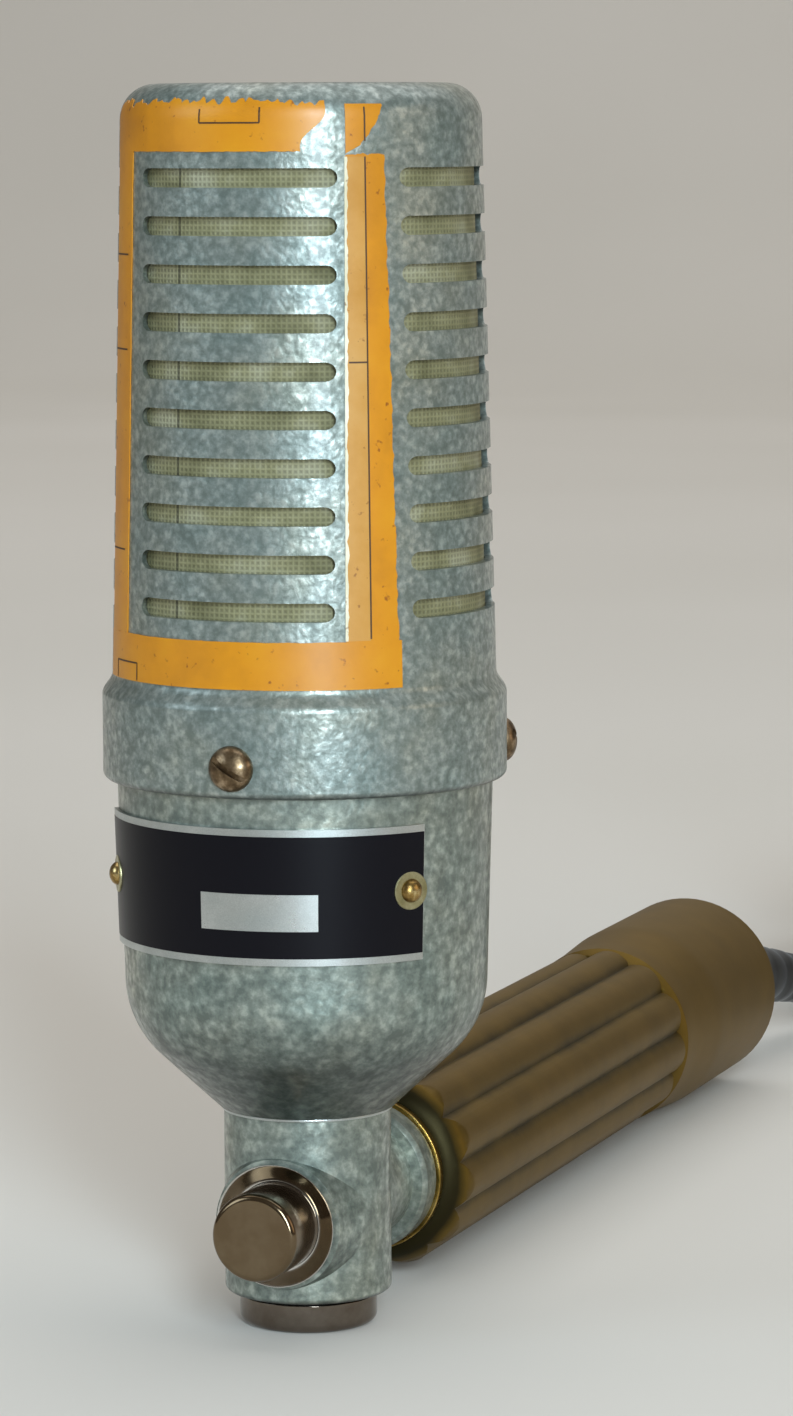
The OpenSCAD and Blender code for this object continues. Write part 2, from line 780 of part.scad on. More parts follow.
module neck_housing() {
    edge = 0.8;
    color("darkseagreen")
        difference() {
            union() {
                rotate_extrude()
                    polygon(concat([[0, z_neck]],
                        [for (a = [-90 : 15 : 0])
                            [neck_r - edge + edge * cos(a), z_neck + edge + edge * sin(a)]],
                        [[neck_r, z_roof], [0, z_roof]]));
                bar_z(z_roof - 1, z_bowl + bowl_floor + nut_t, spigot_r);
                turned_y([[0, -bezel_y + bezel_t], [boss_r, -bezel_y + bezel_t],
                    [boss_foot_r, -4], [boss_foot_r, 0], [0, 0]]);
                bar_y(0, flange_y + 1, stem_r);
                turned_y([[0, flange_y], [flange_r - 0.6, flange_y], [flange_r, flange_y + 0.6],
                    [flange_r, flange_end - 0.4], [flange_r - 0.4, flange_end], [0, flange_end]]);
            }
            bar_z(z_neck - 1, neck_floor_z, neck_bore_r);
            bar_z(z_roof, z_roof + 20, spigot_r - 1.2);
            bar_y(-bezel_y - 1, 0, bush_r + fit);
            bar_y(0, flange_end + 1, stud_r + fit);
            bar_y(3, stud_seat_y, stem_r - 1.6);
            translate([0, 4.6, neck_floor_z - 1]) cylinder(h = 6, r = 1.2, $fn = 32);
            switch_screw_places() translate([0, 0, neck_floor_z - 1]) cylinder(h = 6, r = 1.1, $fn = 24);
        }
}

module neck_nut() {
    z0 = z_bowl + bowl_floor;
    color("silver")
        difference() {
            translate([0, 0, z0]) cylinder(h = nut_t, r = spigot_r + 3.2, $fn = 6);
            bar_z(z0 - 1, z0 + nut_t + 1, spigot_r + 0.03);
        }
}

module bottom_cap() {
    edge = 1.2;
    spigot_l = 4;
    color("silver")
        difference() {
            rotate_extrude()
                polygon(concat([[0, 0]],
                    [for (a = [-90 : 10 : 0]) [cap_r - edge + edge * cos(a), edge + edge * sin(a)]],
                    [[cap_r, cap_h], [neck_bore_r - fit, cap_h], [neck_bore_r - fit, cap_h + spigot_l],
                    [neck_bore_r - 1.6, cap_h + spigot_l], [neck_bore_r - 1.6, 1.6], [0, 1.6]]));
            for (side = [-1, 1])
                translate([side * 5.4, 0, -1]) cylinder(h = 2, r = 0.9, $fn = 24);
        }
}

module cap_gasket() {
    color("black") ring_z(cap_h, z_neck, neck_bore_r, cap_r - 0.5);
}

module button_bezel() {
    front = -bezel_y;
    color("silver")
        turned_y([[stem_pin_r + slide, bush_end_y], [bush_r, bush_end_y], [bush_r, front + bezel_t],
            [bezel_r, front + bezel_t], [bezel_r, front + 0.25], [bezel_r - 0.25, front],
            [bezel_r - 0.7, front], [button_r + 0.35, front + 0.5], [button_r + slide, front + 0.9],
            [button_r + slide, bush_end_y - bush_wall], [stem_pin_r + slide, bush_end_y - bush_wall]]);
}

module push_button() {
    edge = 0.9;
    color("silver")
        turned_y(concat([[0, button_y]],
            [for (a = [-90 : 10 : 0])
                [button_r - edge + edge * cos(a), button_y + edge + edge * sin(a)]],
            [[button_r, button_back_y], [button_hollow_r, button_back_y],
            [button_hollow_r, button_y + button_skin], [stem_pin_r, button_y + button_skin],
            [stem_pin_r, pin_tip_y - 1], [pin_tip_r, pin_tip_y], [0, pin_tip_y]]));
}

module button_clip() {
    y0 = bush_end_y + 0.1;
    color("silver")
        translate([0, 0, axis_z])
            difference() {
                translate([0, 0, -axis_z]) ring_y(y0, y0 + clip_t, stem_pin_r, stem_pin_r + 1.3);
                translate([-1.1, -20, -20]) cube([2.2, 40, 20]);
            }
}

// One strand wound from the bottom of the button's hollow to the bush's end wall
module button_spring() {
    y0 = button_y + button_skin + spring_wire_r + 0.05;
    y1 = bush_end_y - bush_wall - spring_wire_r - 0.05;
    rings = 10;
    turns = [for (k = [0 : spring_turns * rings])
        let(a = 360 * k / rings)
        [spring_r * cos(a), y0 + (y1 - y0) * k / (spring_turns * rings), axis_z + spring_r * sin(a)]];
    color("silver")
        swept_tube(turns, [for (p = turns) spring_wire_r], tube_sides, [0, 1, 0], [0, 0, 1], [0, 0, 1]);
}

module switch_screw_places() {
    for (side = [-1, 1])
        translate([side * 3.2, -2.4, 0])
            children();
}

module switch_block() {
    color("saddlebrown")
        difference() {
            translate([-5, -5, leaf_top + 0.1]) cube([10, 8.4, neck_floor_z - leaf_top - 0.1]);
            switch_screw_places() translate([0, 0, leaf_top - 1]) cylinder(h = 6, r = 1.02, $fn = 24);
        }
}

module switch_screws() {
    color("silver")
        switch_screw_places()
            translate([0, 0, z_roof])
                round_screw(1.75, 1.1, 1, neck_roof + 1.8, 0.5);
}

module moving_contact() {
    color("goldenrod") {
        translate([-2, leaf_y, dot_z - 1.5]) cube([4, leaf_t, leaf_top - dot_z + 1.5]);
        translate([0, leaf_y + leaf_t, dot_z])
            rotate([-90, 0, 0]) cylinder(h = dot_t, r = 0.9, $fn = 32);
    }
}

module fixed_contact() {
    color("goldenrod")
        translate([-2, fixed_y, dot_z - 1.5])
            cube([4, leaf_t, leaf_top + 0.1 - dot_z + 1.5]);
}

module collar_ring() {
    color("goldenrod") ring_y(flange_end, nose_y, stud_r + fit, collar_ring_r);
}

module handle_stud() {
    color("silver")
        ring_y(stud_seat_y - nut_t - 1, nose_y + handle_nose - 1, stud_bore_r, stud_r);
}

module stud_nut() {
    color("goldenrod")
        difference() {
            bar_y(stud_seat_y - nut_t, stud_seat_y, 6.8, 6);
            bar_y(stud_seat_y - nut_t - 1, stud_seat_y + 1, stud_r + 0.03);
        }
}

// The lobed front of the handle, before its nose is rounded
module lobed_bar() {
    lobe_ring_r = lobe_crest_r - lobe_r;
    bar_y(nose_y, lobe_end_y + 1, lobe_ring_r * cos(180 / lobes) + 1.6);
    for (i = [0 : lobes - 1])
        translate([0, 0, axis_z])
            rotate([0, -lobe_turn - (i + 0.5) * 360 / lobes, 0])
                translate([lobe_ring_r, nose_y, 0])
                    rotate([-90, 0, 0])
                        cylinder(h = lobe_end_y + 1 - nose_y, r = lobe_r, $fn = 48);
}

module handle_grip() {
    grown = lobe_crest_r + 0.6;
    groove_r = lobe_crest_r - 1.5;
    color("goldenrod")
        difference() {
            union() {
                intersection() {
                    lobed_bar();
                    turned_y(concat([[0, nose_y], [shoulder_r, nose_y]],
                        [for (a = [15 : 15 : 90])
                            [shoulder_r + (grown - shoulder_r) * sin(a),
                             nose_y + shoulder_l * (1 - cos(a))]],
                        [[grown, lobe_end_y + 2], [0, lobe_end_y + 2]]));
                }
                turned_y([[0, lobe_end_y], [groove_r, lobe_end_y], [lobe_crest_r + 0.05, lobe_end_y + 2.2],
                    [lobe_crest_r + 0.2, lobe_end_y + 8], [barrel_r - 0.2, barrel_y - 3],
                    [barrel_r, barrel_y], [barrel_r, handle_end - 0.8],
                    [barrel_r - 0.8, handle_end], [0, handle_end]]);
            }
            bar_y(nose_y - 1, nose_y + handle_nose + 1, stud_r + fit);
            bar_y(nose_y + handle_nose, handle_end + 1, handle_bore_r);
            bar_y(handle_end - plug_flange_t, handle_end + 1, plug_flange_r + fit);
            plug_screw_places() bar_screw_hole(handle_end - plug_flange_t - 5, handle_end, 0.75);
        }
}

module plug_screw_places() {
    for (i = [0 : 2])
        translate([0, 0, axis_z])
            rotate([0, 120 * i + 30, 0])
                translate([(plug_flange_r + handle_bore_r) / 2 + 0.1, 0, -axis_z])
                    children();
}

module bar_screw_hole(y0, y1, r) {
    bar_y(y0, y1, r, 24);
}

module end_plug() {
    color("goldenrod")
        difference() {
            union() {
                bar_y(handle_end - plug_flange_t, handle_end, plug_flange_r);
                bar_y(handle_end - plug_l, handle_end - plug_flange_t, handle_bore_r - fit);
            }
            bar_y(handle_end - plug_l - 1, handle_end + 1, cord_r + fit);
            plug_screw_places() bar_screw_hole(handle_end - plug_flange_t - 1, handle_end + 1, 0.85);
            clamp_screw_places() bar_screw_hole(handle_end - plug_l - 1, handle_end - plug_l + 6, 0.85);
        }
}

module plug_screws() {
    color("silver") {
        plug_screw_places() {
            bar_y(handle_end - plug_flange_t - 4, handle_end, 0.73, 24);
            bar_y(handle_end, handle_end + 0.8, 1.3, 24);
        }
        clamp_screw_places() {
            bar_y(handle_end - plug_l - clamp_l, handle_end - plug_l + 5, 0.8, 24);
            bar_y(handle_end - plug_l - clamp_l - 0.9, handle_end - plug_l - clamp_l, 1.4, 24);
        }
    }
}

module clamp_screw_places() {
    for (side = [-1, 1])
        translate([side * 6.2, 0, 0])
            children();
}

module cable_clamp() {
    y1 = handle_end - plug_l;
    color("silver")
        difference() {
            ring_y(y1 - clamp_l, y1, cord_r + 0.03, clamp_r);
            clamp_screw_places() bar_screw_hole(y1 - clamp_l - 1, y1 + 1, 0.85);
        }
}

module inner_cable() {
    color("dimgray") {
        bar_y(core_end_y, sheath_y, core_r);
        bar_y(sheath_y, handle_end, cord_r);
    }
}

module strain_relief() {
    color("black")
        swept_tube(relief_route, relief_radii, 12, [0, 0, 1], [0, 1, 0], unit([2.4, 9, -2.2]));
}

module cord_run() {
    color("black")
        swept_tube(run_route, [for (p = run_route) cord_r], run_sides, [0, 0, 1],
            unit([2.4, 9, -2.2]), [0, 1, 0]);
}

module cord_tail() {
    color("black")
        swept_tube(tail_route, [for (p = tail_route) cord_r], run_sides, [0, 0, 1],
            [0, 1, 0], [0, -1, 0]);
}

// The loops of the hank spiral in and out again, and climb a layer along a run where they reverse
function eased(x) = (1 - cos(180 * max(0, min(1, x)))) / 2;
function climbed(t, k = 1) =
    k > hank_layers ? 0 : eased((t - k * loops_per_layer + 0.125) / 0.25) + climbed(t, k + 1);
function fold_at(t) =
    let(phase = t - 2 * loops_per_layer * floor(t / (2 * loops_per_layer)))
    fold_r + loop_pitch * abs(phase - loops_per_layer);
function loop_place(u, w, half) =
    u < 0.25 ? [w, half * (8 * u - 1)] :
    u < 0.5 ? [w * cos(720 * (u - 0.25)), half + w * sin(720 * (u - 0.25))] :
    u < 0.75 ? [-w, half * (1 - 8 * (u - 0.5))] :
    [-w * cos(720 * (u - 0.75)), -half - w * sin(720 * (u - 0.75))];
function hank_point(t) =
    let(u = t + 0.125 - floor(t + 0.125))
    let(place = loop_place(u, fold_at(t), hank_run / 2))
    [hank_x + place.x, hank_y + place.y, hank_z + loop_pitch * climbed(t)];
hank_steps = loop_rings * (hank_layers * loops_per_layer + 0.125);
hank_path = [for (k = [0 : hank_steps]) hank_point(k / loop_rings)];
least_gap = min([for (i = [0 : hank_steps], j = [i + loop_rings / 2 : 1 : hank_steps])
    norm(hank_path[i] - hank_path[j])]) - 2 * cord_r;

module cord_hank() {
    echo("Least gap of the hank to itself, in mm", least_gap);
    color("black")
        swept_tube(hank_path, [for (p = hank_path) cord_r], tube_sides, [0, 0, 1],
            [0, 1, 0], [0, 1, 0]);
}

module cord_tie() {
    gap = 0.4;
    left = -fold_r - loop_pitch - 0.6 - cord_r - gap;
    right = fold_r + loops_per_layer * loop_pitch + 0.5 + cord_r + gap;
    z0 = hank_z - cord_r - gap;
    z1 = hank_z + (hank_layers - 1) * loop_pitch + cord_r + gap + 0.3;
    color("saddlebrown")
        translate([hank_x, hank_y - tie_back, 0])
            difference() {
                translate([left - tie_t, -tie_w / 2, z0 - 0.6])
                    cube([right - left + 2 * tie_t, tie_w, z1 - z0 + 0.6 + tie_t]);
                translate([left, -tie_w, z0])
                    cube([right - left, 2 * tie_w, z1 - z0]);
            }
}

// The connector lies on the hank, pointing along -Y
module connector_shell() {
    tail = 12;
    color("silver")
        translate([plug_x, plug_y, plug_z])
            rotate([90, 0, 0])
                rotate_extrude()
                    polygon([[0, 0], [cord_r + 1.2, 0], [cord_r + 2, tail * 0.7], [plug_shell_r, tail],
                        [plug_shell_r, plug_shell_l - 10], [plug_shell_r - 0.8, plug_shell_l - 10],
                        [plug_shell_r - 0.8, plug_shell_l], [plug_shell_r - 2, plug_shell_l],
                        [plug_shell_r - 2, plug_shell_l - insert_l], [0, plug_shell_l - insert_l]]);
}

module connector_insert() {
    color("black")
        translate([plug_x, plug_y - plug_shell_l + insert_l, plug_z])
            rotate([90, 0, 0])
                cylinder(h = insert_l, r = plug_shell_r - 2 - fit);
}

module connector_pins() {
    color("goldenrod")
        for (i = [0 : 2])
            translate([plug_x + 3.6 * cos(120 * i + 90), plug_y - plug_shell_l,
                plug_z + 3.6 * sin(120 * i + 90)])
                rotate([90, 0, 0]) {
                    cylinder(h = pin_l, r = 1, $fn = 24);
                    translate([0, 0, pin_l]) cylinder(h = 0.6, r1 = 1, r2 = 0.6, $fn = 24);
                }
}

grille_cap();
grille_gauze();
gauze_ring();
skirt_screw_set();
tape_strips();
lower_body();
nameplate();
nameplate_rivets();
deck_plate();
deck_screws();
lower_cushion();
magnet_pot();
magnet();
pole_tip();
top_plate();
voice_coil();
diaphragm();
diaphragm_ring();
front_grid();
upper_cushion();
clamp_ring();
tie_rods();
rod_nuts();
transformer_core();
transformer_winding();
transformer_clamp();
transformer_screws();
terminal_strip();
terminal_tags();
capsule_leads();
switch_leads();
neck_ring();
neck_housing();
neck_nut();
bottom_cap();
cap_gasket();
button_bezel();
push_button();
button_clip();
button_spring();
switch_block();
switch_screws();
moving_contact();
fixed_contact();
collar_ring();
handle_stud();
stud_nut();
handle_grip();
end_plug();
plug_screws();
cable_clamp();
inner_cable();
strain_relief();
cord_run();
cord_hank();
cord_tail();
cord_tie();
connector_shell();
connector_insert();
connector_pins();
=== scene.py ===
# Hand microphone: hammered enamel head, black nameplate, chrome talk button, fluted brass handle
import math
import bpy
import bmesh
from mathutils import Vector, Matrix, noise


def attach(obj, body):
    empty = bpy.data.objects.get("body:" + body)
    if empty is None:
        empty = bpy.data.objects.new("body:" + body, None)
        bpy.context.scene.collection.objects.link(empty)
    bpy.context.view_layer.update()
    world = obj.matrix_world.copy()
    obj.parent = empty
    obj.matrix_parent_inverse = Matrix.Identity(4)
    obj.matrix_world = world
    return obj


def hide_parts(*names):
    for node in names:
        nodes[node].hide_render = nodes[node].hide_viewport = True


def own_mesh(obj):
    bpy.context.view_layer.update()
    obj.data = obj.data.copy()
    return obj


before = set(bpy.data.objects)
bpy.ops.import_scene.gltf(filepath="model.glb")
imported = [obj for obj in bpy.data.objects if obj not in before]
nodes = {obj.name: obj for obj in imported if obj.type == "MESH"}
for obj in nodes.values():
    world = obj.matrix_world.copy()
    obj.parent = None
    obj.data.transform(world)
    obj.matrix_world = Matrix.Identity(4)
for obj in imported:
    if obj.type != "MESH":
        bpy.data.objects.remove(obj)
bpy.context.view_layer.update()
mm = 0.001
axisZ = 15.6       # height of the handle's and the button's axis, in millimetres
handleEnd = 185    # the handle's rear end, in millimetres behind the head's axis
scene = bpy.context.scene
print("frame loaded")

# camera at the photograph's angle, lens in pixels of a 793 x 1416 picture
cameraSet = {
    "place": (238.554, -627.994, 163.39),
    "right": (0.94138905, 0.3372939, -0.00441339),
    "down": (0.03527259, -0.11144096, -0.99314488),
    "ahead": (-0.33547354, 0.93478005, -0.11680653),
    "focalPixels": 4994.5,
    "pictureHeight": 1416,
    "sensorHeight": 36,
}


def placeCamera():
    s = cameraSet
    data = bpy.data.cameras.new("photoCamera")
    data.sensor_fit = "VERTICAL"
    data.sensor_height = s["sensorHeight"]
    data.lens = s["sensorHeight"] * s["focalPixels"] / s["pictureHeight"]
    data.clip_start = 0.01
    data.clip_end = 20
    camera = bpy.data.objects.new("photoCamera", data)
    scene.collection.objects.link(camera)
    side, down, ahead = (Vector(s[k]) for k in ("right", "down", "ahead"))
    turn = Matrix((side, -down, -ahead)).transposed().to_4x4()
    camera.matrix_world = Matrix.Translation(Vector(s["place"]) * mm) @ turn
    scene.camera = camera


placeCamera()


def between(low, high, share):
    return low + (high - low) * share


# sRGB hex to linear colour
def tone(code):
    parts = [int(code[i:i + 2], 16) / 255 for i in (1, 3, 5)]
    return tuple(c / 12.92 if c <= 0.04045 else ((c + 0.055) / 1.055) ** 2.4 for c in parts) + (1.0,)


# a socket given for an input is linked to it; anything else becomes the input's own value
def addNode(tree, kind, inputs=None, **settings):
    node = tree.nodes.new(kind)
    for key, value in settings.items():
        setattr(node, key, value)
    for key, value in (inputs or {}).items():
        if isinstance(value, bpy.types.NodeSocket):
            tree.links.new(value, node.inputs[key])
        else:
            node.inputs[key].default_value = value
    return node


def mathOf(tree, operation, *inputs):
    return addNode(tree, "ShaderNodeMath", dict(enumerate(inputs)), operation=operation).outputs[0]


def vectorOf(tree, operation, *inputs):
    return addNode(tree, "ShaderNodeVectorMath", dict(enumerate(inputs)), operation=operation).outputs[0]


def noiseOf(tree, place, scale, detail, roughness=0.5):
    inputs = {"Vector": place, "Scale": scale, "Detail": detail, "Roughness": roughness}
    return addNode(tree, "ShaderNodeTexNoise", inputs).outputs["Fac"]


def remap(tree, value, fromMin, fromMax, toMin, toMax, **settings):
    inputs = {"Value": value, "From Min": fromMin, "From Max": fromMax, "To Min": toMin, "To Max": toMax}
    return addNode(tree, "ShaderNodeMapRange", inputs, **settings).outputs[0]


def mixed(tree, share, base, other, mode="MULTIPLY"):
    inputs = {0: share, 6: base, 7: other}
    return addNode(tree, "ShaderNodeMix", inputs, data_type="RGBA", blend_type=mode).outputs[2]


def ramp(tree, source, stops):
    node = addNode(tree, "ShaderNodeValToRGB", {"Fac": source})
    while len(node.color_ramp.elements) < len(stops):
        node.color_ramp.elements.new(0.5)
    for element, (position, colour) in zip(node.color_ramp.elements, stops):
        element.position = position
        element.color = tone(colour) if isinstance(colour, str) else (colour, colour, colour, 1)
    return node.outputs["Color"]


def newMaterial(name, **shaderValues):
    material = bpy.data.materials.new(name)
    material.use_nodes = True
    tree = material.node_tree
    tree.nodes.clear()
    shader = addNode(tree, "ShaderNodeBsdfPrincipled", shaderValues)
    addNode(tree, "ShaderNodeOutputMaterial", {"Surface": shader.outputs[0]})
    place = addNode(tree, "ShaderNodeTexCoord").outputs["Object"]
    return material, tree, shader, place


# joins colour, relief and gloss to the shader
def cover(tree, shader, colour, relief, strength, depthMm, gloss=None):
    tree.links.new(colour, shader.inputs["Base Color"])
    bump = addNode(tree, "ShaderNodeBump", {"Height": relief, "Strength": strength, "Distance": depthMm * mm})
    tree.links.new(bump.outputs["Normal"], shader.inputs["Normal"])
    if gloss is not None:
        tree.links.new(gloss, shader.inputs["Roughness"])


def dress(obj, material):
    obj.data.materials.clear()
    obj.data.materials.append(material)


# points in millimetres, in the frame of the part
def meshPiece(name, verts, faces, material, smooth=True):
    data = bpy.data.meshes.new(name)
    data.from_pydata([tuple(c * mm for c in v) for v in verts], [], faces)
    data.validate()
    work = bmesh.new()
    work.from_mesh(data)
    bmesh.ops.recalc_face_normals(work, faces=work.faces)
    work.to_mesh(data)
    work.free()
    data.polygons.foreach_set("use_smooth", [smooth] * len(data.polygons))
    obj = bpy.data.objects.new(name, data)
    scene.collection.objects.link(obj)
    dress(obj, material)
    return obj


# turns the live modifiers into a plain mesh
def settle(obj):
    bpy.context.view_layer.update()
    graph = bpy.context.evaluated_depsgraph_get()
    plain = bpy.data.meshes.new_from_object(obj.evaluated_get(graph))
    obj.modifiers.clear()
    obj.data = plain


# small rounded edges, then shading that keeps flats flat
def finishEdges(obj, bevelMm, angle=32, segments=2, sharp=42):
    if bevelMm:
        bevel = obj.modifiers.new("edges", "BEVEL")
        bevel.width = bevelMm * mm
        bevel.segments = segments
        bevel.limit_method = "ANGLE"
        bevel.angle_limit = math.radians(angle)
        bevel.use_clamp_overlap = True
        settle(obj)
    obj.data.polygons.foreach_set("use_smooth", [True] * len(obj.data.polygons))
    obj.data.set_sharp_from_angle(angle=math.radians(sharp))
    weighted = obj.modifiers.new("weighted", "WEIGHTED_NORMAL")
    weighted.keep_sharp = True
    settle(obj)


# a merged copy of a CAD node with small rounded edges stands for the node
def softened(nodeName, material, bevelMm, body="microphone"):
    work = bmesh.new()
    work.from_mesh(nodes[nodeName].data)
    bmesh.ops.remove_doubles(work, verts=work.verts, dist=2e-6)
    bmesh.ops.dissolve_limit(work, angle_limit=math.radians(0.3), verts=work.verts, edges=work.edges)
    data = bpy.data.meshes.new(nodeName)
    work.to_mesh(data)
    work.free()
    obj = bpy.data.objects.new(nodeName + ".finished", data)
    scene.collection.objects.link(obj)
    dress(obj, material)
    finishEdges(obj, bevelMm)
    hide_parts(nodeName)
    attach(obj, body)


# a ring or a bar turned from [radius, height] points; points on the axis are closed as poles
def turned(name, outline, material, sides=128, centre=(0, 0, 0), axis="Z", closed=True):
    verts, faces, rows = [], [], []
    angles = [2 * math.pi * k / sides for k in range(sides)]
    for radius, height in outline:
        if radius < 1e-6:
            rows.append([len(verts)])
            verts.append((0, 0, height))
        else:
            rows.append(list(range(len(verts), len(verts) + sides)))
            verts += [(radius * math.cos(a), radius * math.sin(a), height) for a in angles]
    pairs = list(zip(rows, rows[1:])) + ([(rows[-1], rows[0])] if closed else [])
    for a, b in pairs:
        if len(a) == 1 and len(b) == 1:
            continue
        for k in range(sides):
            n = (k + 1) % sides
            if len(a) == 1:
                faces.append((a[0], b[k], b[n]))
            elif len(b) == 1:
                faces.append((a[k], a[n], b[0]))
            else:
                faces.append((a[k], a[n], b[n], b[k]))
    if axis == "Y":
        verts = [(x, z, -y) for x, y, z in verts]
    verts = [tuple(p + c for p, c in zip(v, centre)) for v in verts]
    return meshPiece(name, verts, faces, material)


# points of an arc round a centre, at angles in degrees
def arc(centreA, centreB, radiusA, radiusB, angles):
    turns = [math.radians(angle) for angle in angles]
    return [(centreA + radiusA * math.cos(turn), centreB + radiusB * math.sin(turn)) for turn in turns]


def hammerEnamel(name, cellMm, low, mid, high):
    # hammertone enamel: silver flakes gather in soft round pools, with greener hollows between them
    varnish = {"Coat Weight": 0.4, "Coat Roughness": 0.16, "Coat IOR": 1.5}
    material, tree, shader, place = newMaterial(name, Metallic=0.6, Roughness=0.4, **varnish)
    size = 1 / (cellMm * mm)
    drift = addNode(tree, "ShaderNodeTexNoise", {"Vector": place, "Scale": size * 0.45, "Detail": 2.0})
    moved = addNode(tree, "ShaderNodeVectorMath",
                    {"Vector": drift.outputs["Color"], "Scale": cellMm * mm * 0.9}, operation="SCALE")
    bent = vectorOf(tree, "ADD", place, moved.outputs[0])
    cells = {"Vector": bent, "Scale": size, "Randomness": 1.0}
    pools = addNode(tree, "ShaderNodeTexVoronoi", {**cells, "Smoothness": 0.6}, feature="SMOOTH_F1")
    rims = addNode(tree, "ShaderNodeTexVoronoi", cells, feature="DISTANCE_TO_EDGE")
    grain = noiseOf(tree, place, size * 1.7, 4.0, 0.6)
    cloud = noiseOf(tree, place, 75.0, 3.0, 0.6)
    pooled = mathOf(tree, "MULTIPLY_ADD", pools.outputs["Distance"], -0.35, 0.2)
    total = mathOf(tree, "MULTIPLY_ADD", grain, 0.85, pooled)
    flakes = ramp(tree, total, [(0.3, low), (0.48, mid), (0.68, high)])
    tint = ramp(tree, cloud, [(0.35, "#c3cfcb"), (0.5, "#dcded8"), (0.66, "#e4dfd0")])
    # painted shade: faces that turn down are coloured darker, as if shaded from the light above
    normal = addNode(tree, "ShaderNodeNewGeometry").outputs["Normal"]
    upward = addNode(tree, "ShaderNodeSeparateXYZ", {0: normal}).outputs["Z"]
    paintedUndersideShade = remap(tree, upward, -0.75, -0.15, 0.38, 1.0)
    paint = mixed(tree, 1.0, mixed(tree, 0.75, flakes, tint), paintedUndersideShade)
    gloss = remap(tree, total, 0.3, 0.7, 0.5, 0.3)
    rise = remap(tree, rims.outputs["Distance"], 0.0, 0.35, 0.0, 1.0, interpolation_type="SMOOTHSTEP")
    cover(tree, shader, paint, mathOf(tree, "MULTIPLY_ADD", rise, 0.4, grain), 0.35, 0.14, gloss)
    return material


def castBrass(name, ridge, groove, worn):
    # fluted cast brass gone brown: patina stays in the flutes, hands keep the ridges and the barrel clean
    material, tree, shader, place = newMaterial(name, Metallic=0.85, Roughness=0.5)
    across = vectorOf(tree, "MULTIPLY", place, (1.0, 0.0, 1.0))
    offAxis = vectorOf(tree, "SUBTRACT", across, (0.0, 0.0, axisZ * mm))
    reach = addNode(tree, "ShaderNodeVectorMath", {0: offAxis}, operation="LENGTH").outputs["Value"]
    cloud = noiseOf(tree, place, 110.0, 5.0, 0.6)
    pits = noiseOf(tree, place, 1900.0, 3.0, 0.6)
    wander = mathOf(tree, "MULTIPLY_ADD", cloud, 1.0 * mm, reach)
    depth = remap(tree, wander, 13.3 * mm, 15.0 * mm, 0.0, 1.0)
    body = ramp(tree, depth, [(0.0, groove), (0.55, ridge), (1.0, worn)])
    soft = ramp(tree, cloud, [(0.32, 0.8), (0.68, 1.0)])
    cover(tree, shader, mixed(tree, 0.8, body, soft), pits, 0.3, 0.04)
    return material


def agedMetal(name, base, dark, bright, roughness, grainMm, spotMm, bumpMm=0.05):
    # turned or cast metal gone dull: darker oxide clouds over a fine grain
    material, tree, shader, place = newMaterial(name, Metallic=1.0, Roughness=roughness)
    grain = noiseOf(tree, place, 1 / (grainMm * mm), 4.0, 0.6)
    spots = noiseOf(tree, place, 1 / (spotMm * mm), 5.0, 0.58)
    body = ramp(tree, spots, [(0.3, dark), (0.52, base), (0.72, bright)])
    fine = ramp(tree, grain, [(0.3, 0.72), (0.7, 1.0)])
    gloss = remap(tree, spots, 0.3, 0.7, roughness + 0.12, roughness - 0.06)
    cover(tree, shader, mixed(tree, 0.8, body, fine), grain, 0.35, bumpMm, gloss)
    return material


def castMetal(name, colour, roughness, metal=1.0, grainMm=0.6):
    # plain metal, plastic or ink: one tone with a light cloud in it, over a fine grain
    material, tree, shader, place = newMaterial(name, Metallic=metal, Roughness=roughness)
    cloud = noiseOf(tree, place, 1 / (grainMm * 6 * mm), 4.0)
    grain = noiseOf(tree, place, 1 / (grainMm * mm), 3.0)
    soft = ramp(tree, cloud, [(0.3, 0.78), (0.7, 1.0)])
    cover(tree, shader, mixed(tree, 1.0, tone(colour), soft), grain, 0.2, 0.03)
    return material


def polishedChrome(name, low, high, roughness):
    # plated and polished, hazed by handling: fine random wipes lift the roughness a little
    material, tree, shader, place = newMaterial(name, Metallic=1.0, Roughness=roughness)
    haze = noiseOf(tree, place, 260.0, 5.0, 0.6)
    gloss = remap(tree, haze, 0.35, 0.7, roughness, roughness + 0.06)
    cover(tree, shader, ramp(tree, haze, [(0.35, low), (0.65, high)]), haze, 0.05, 0.02, gloss)
    return material


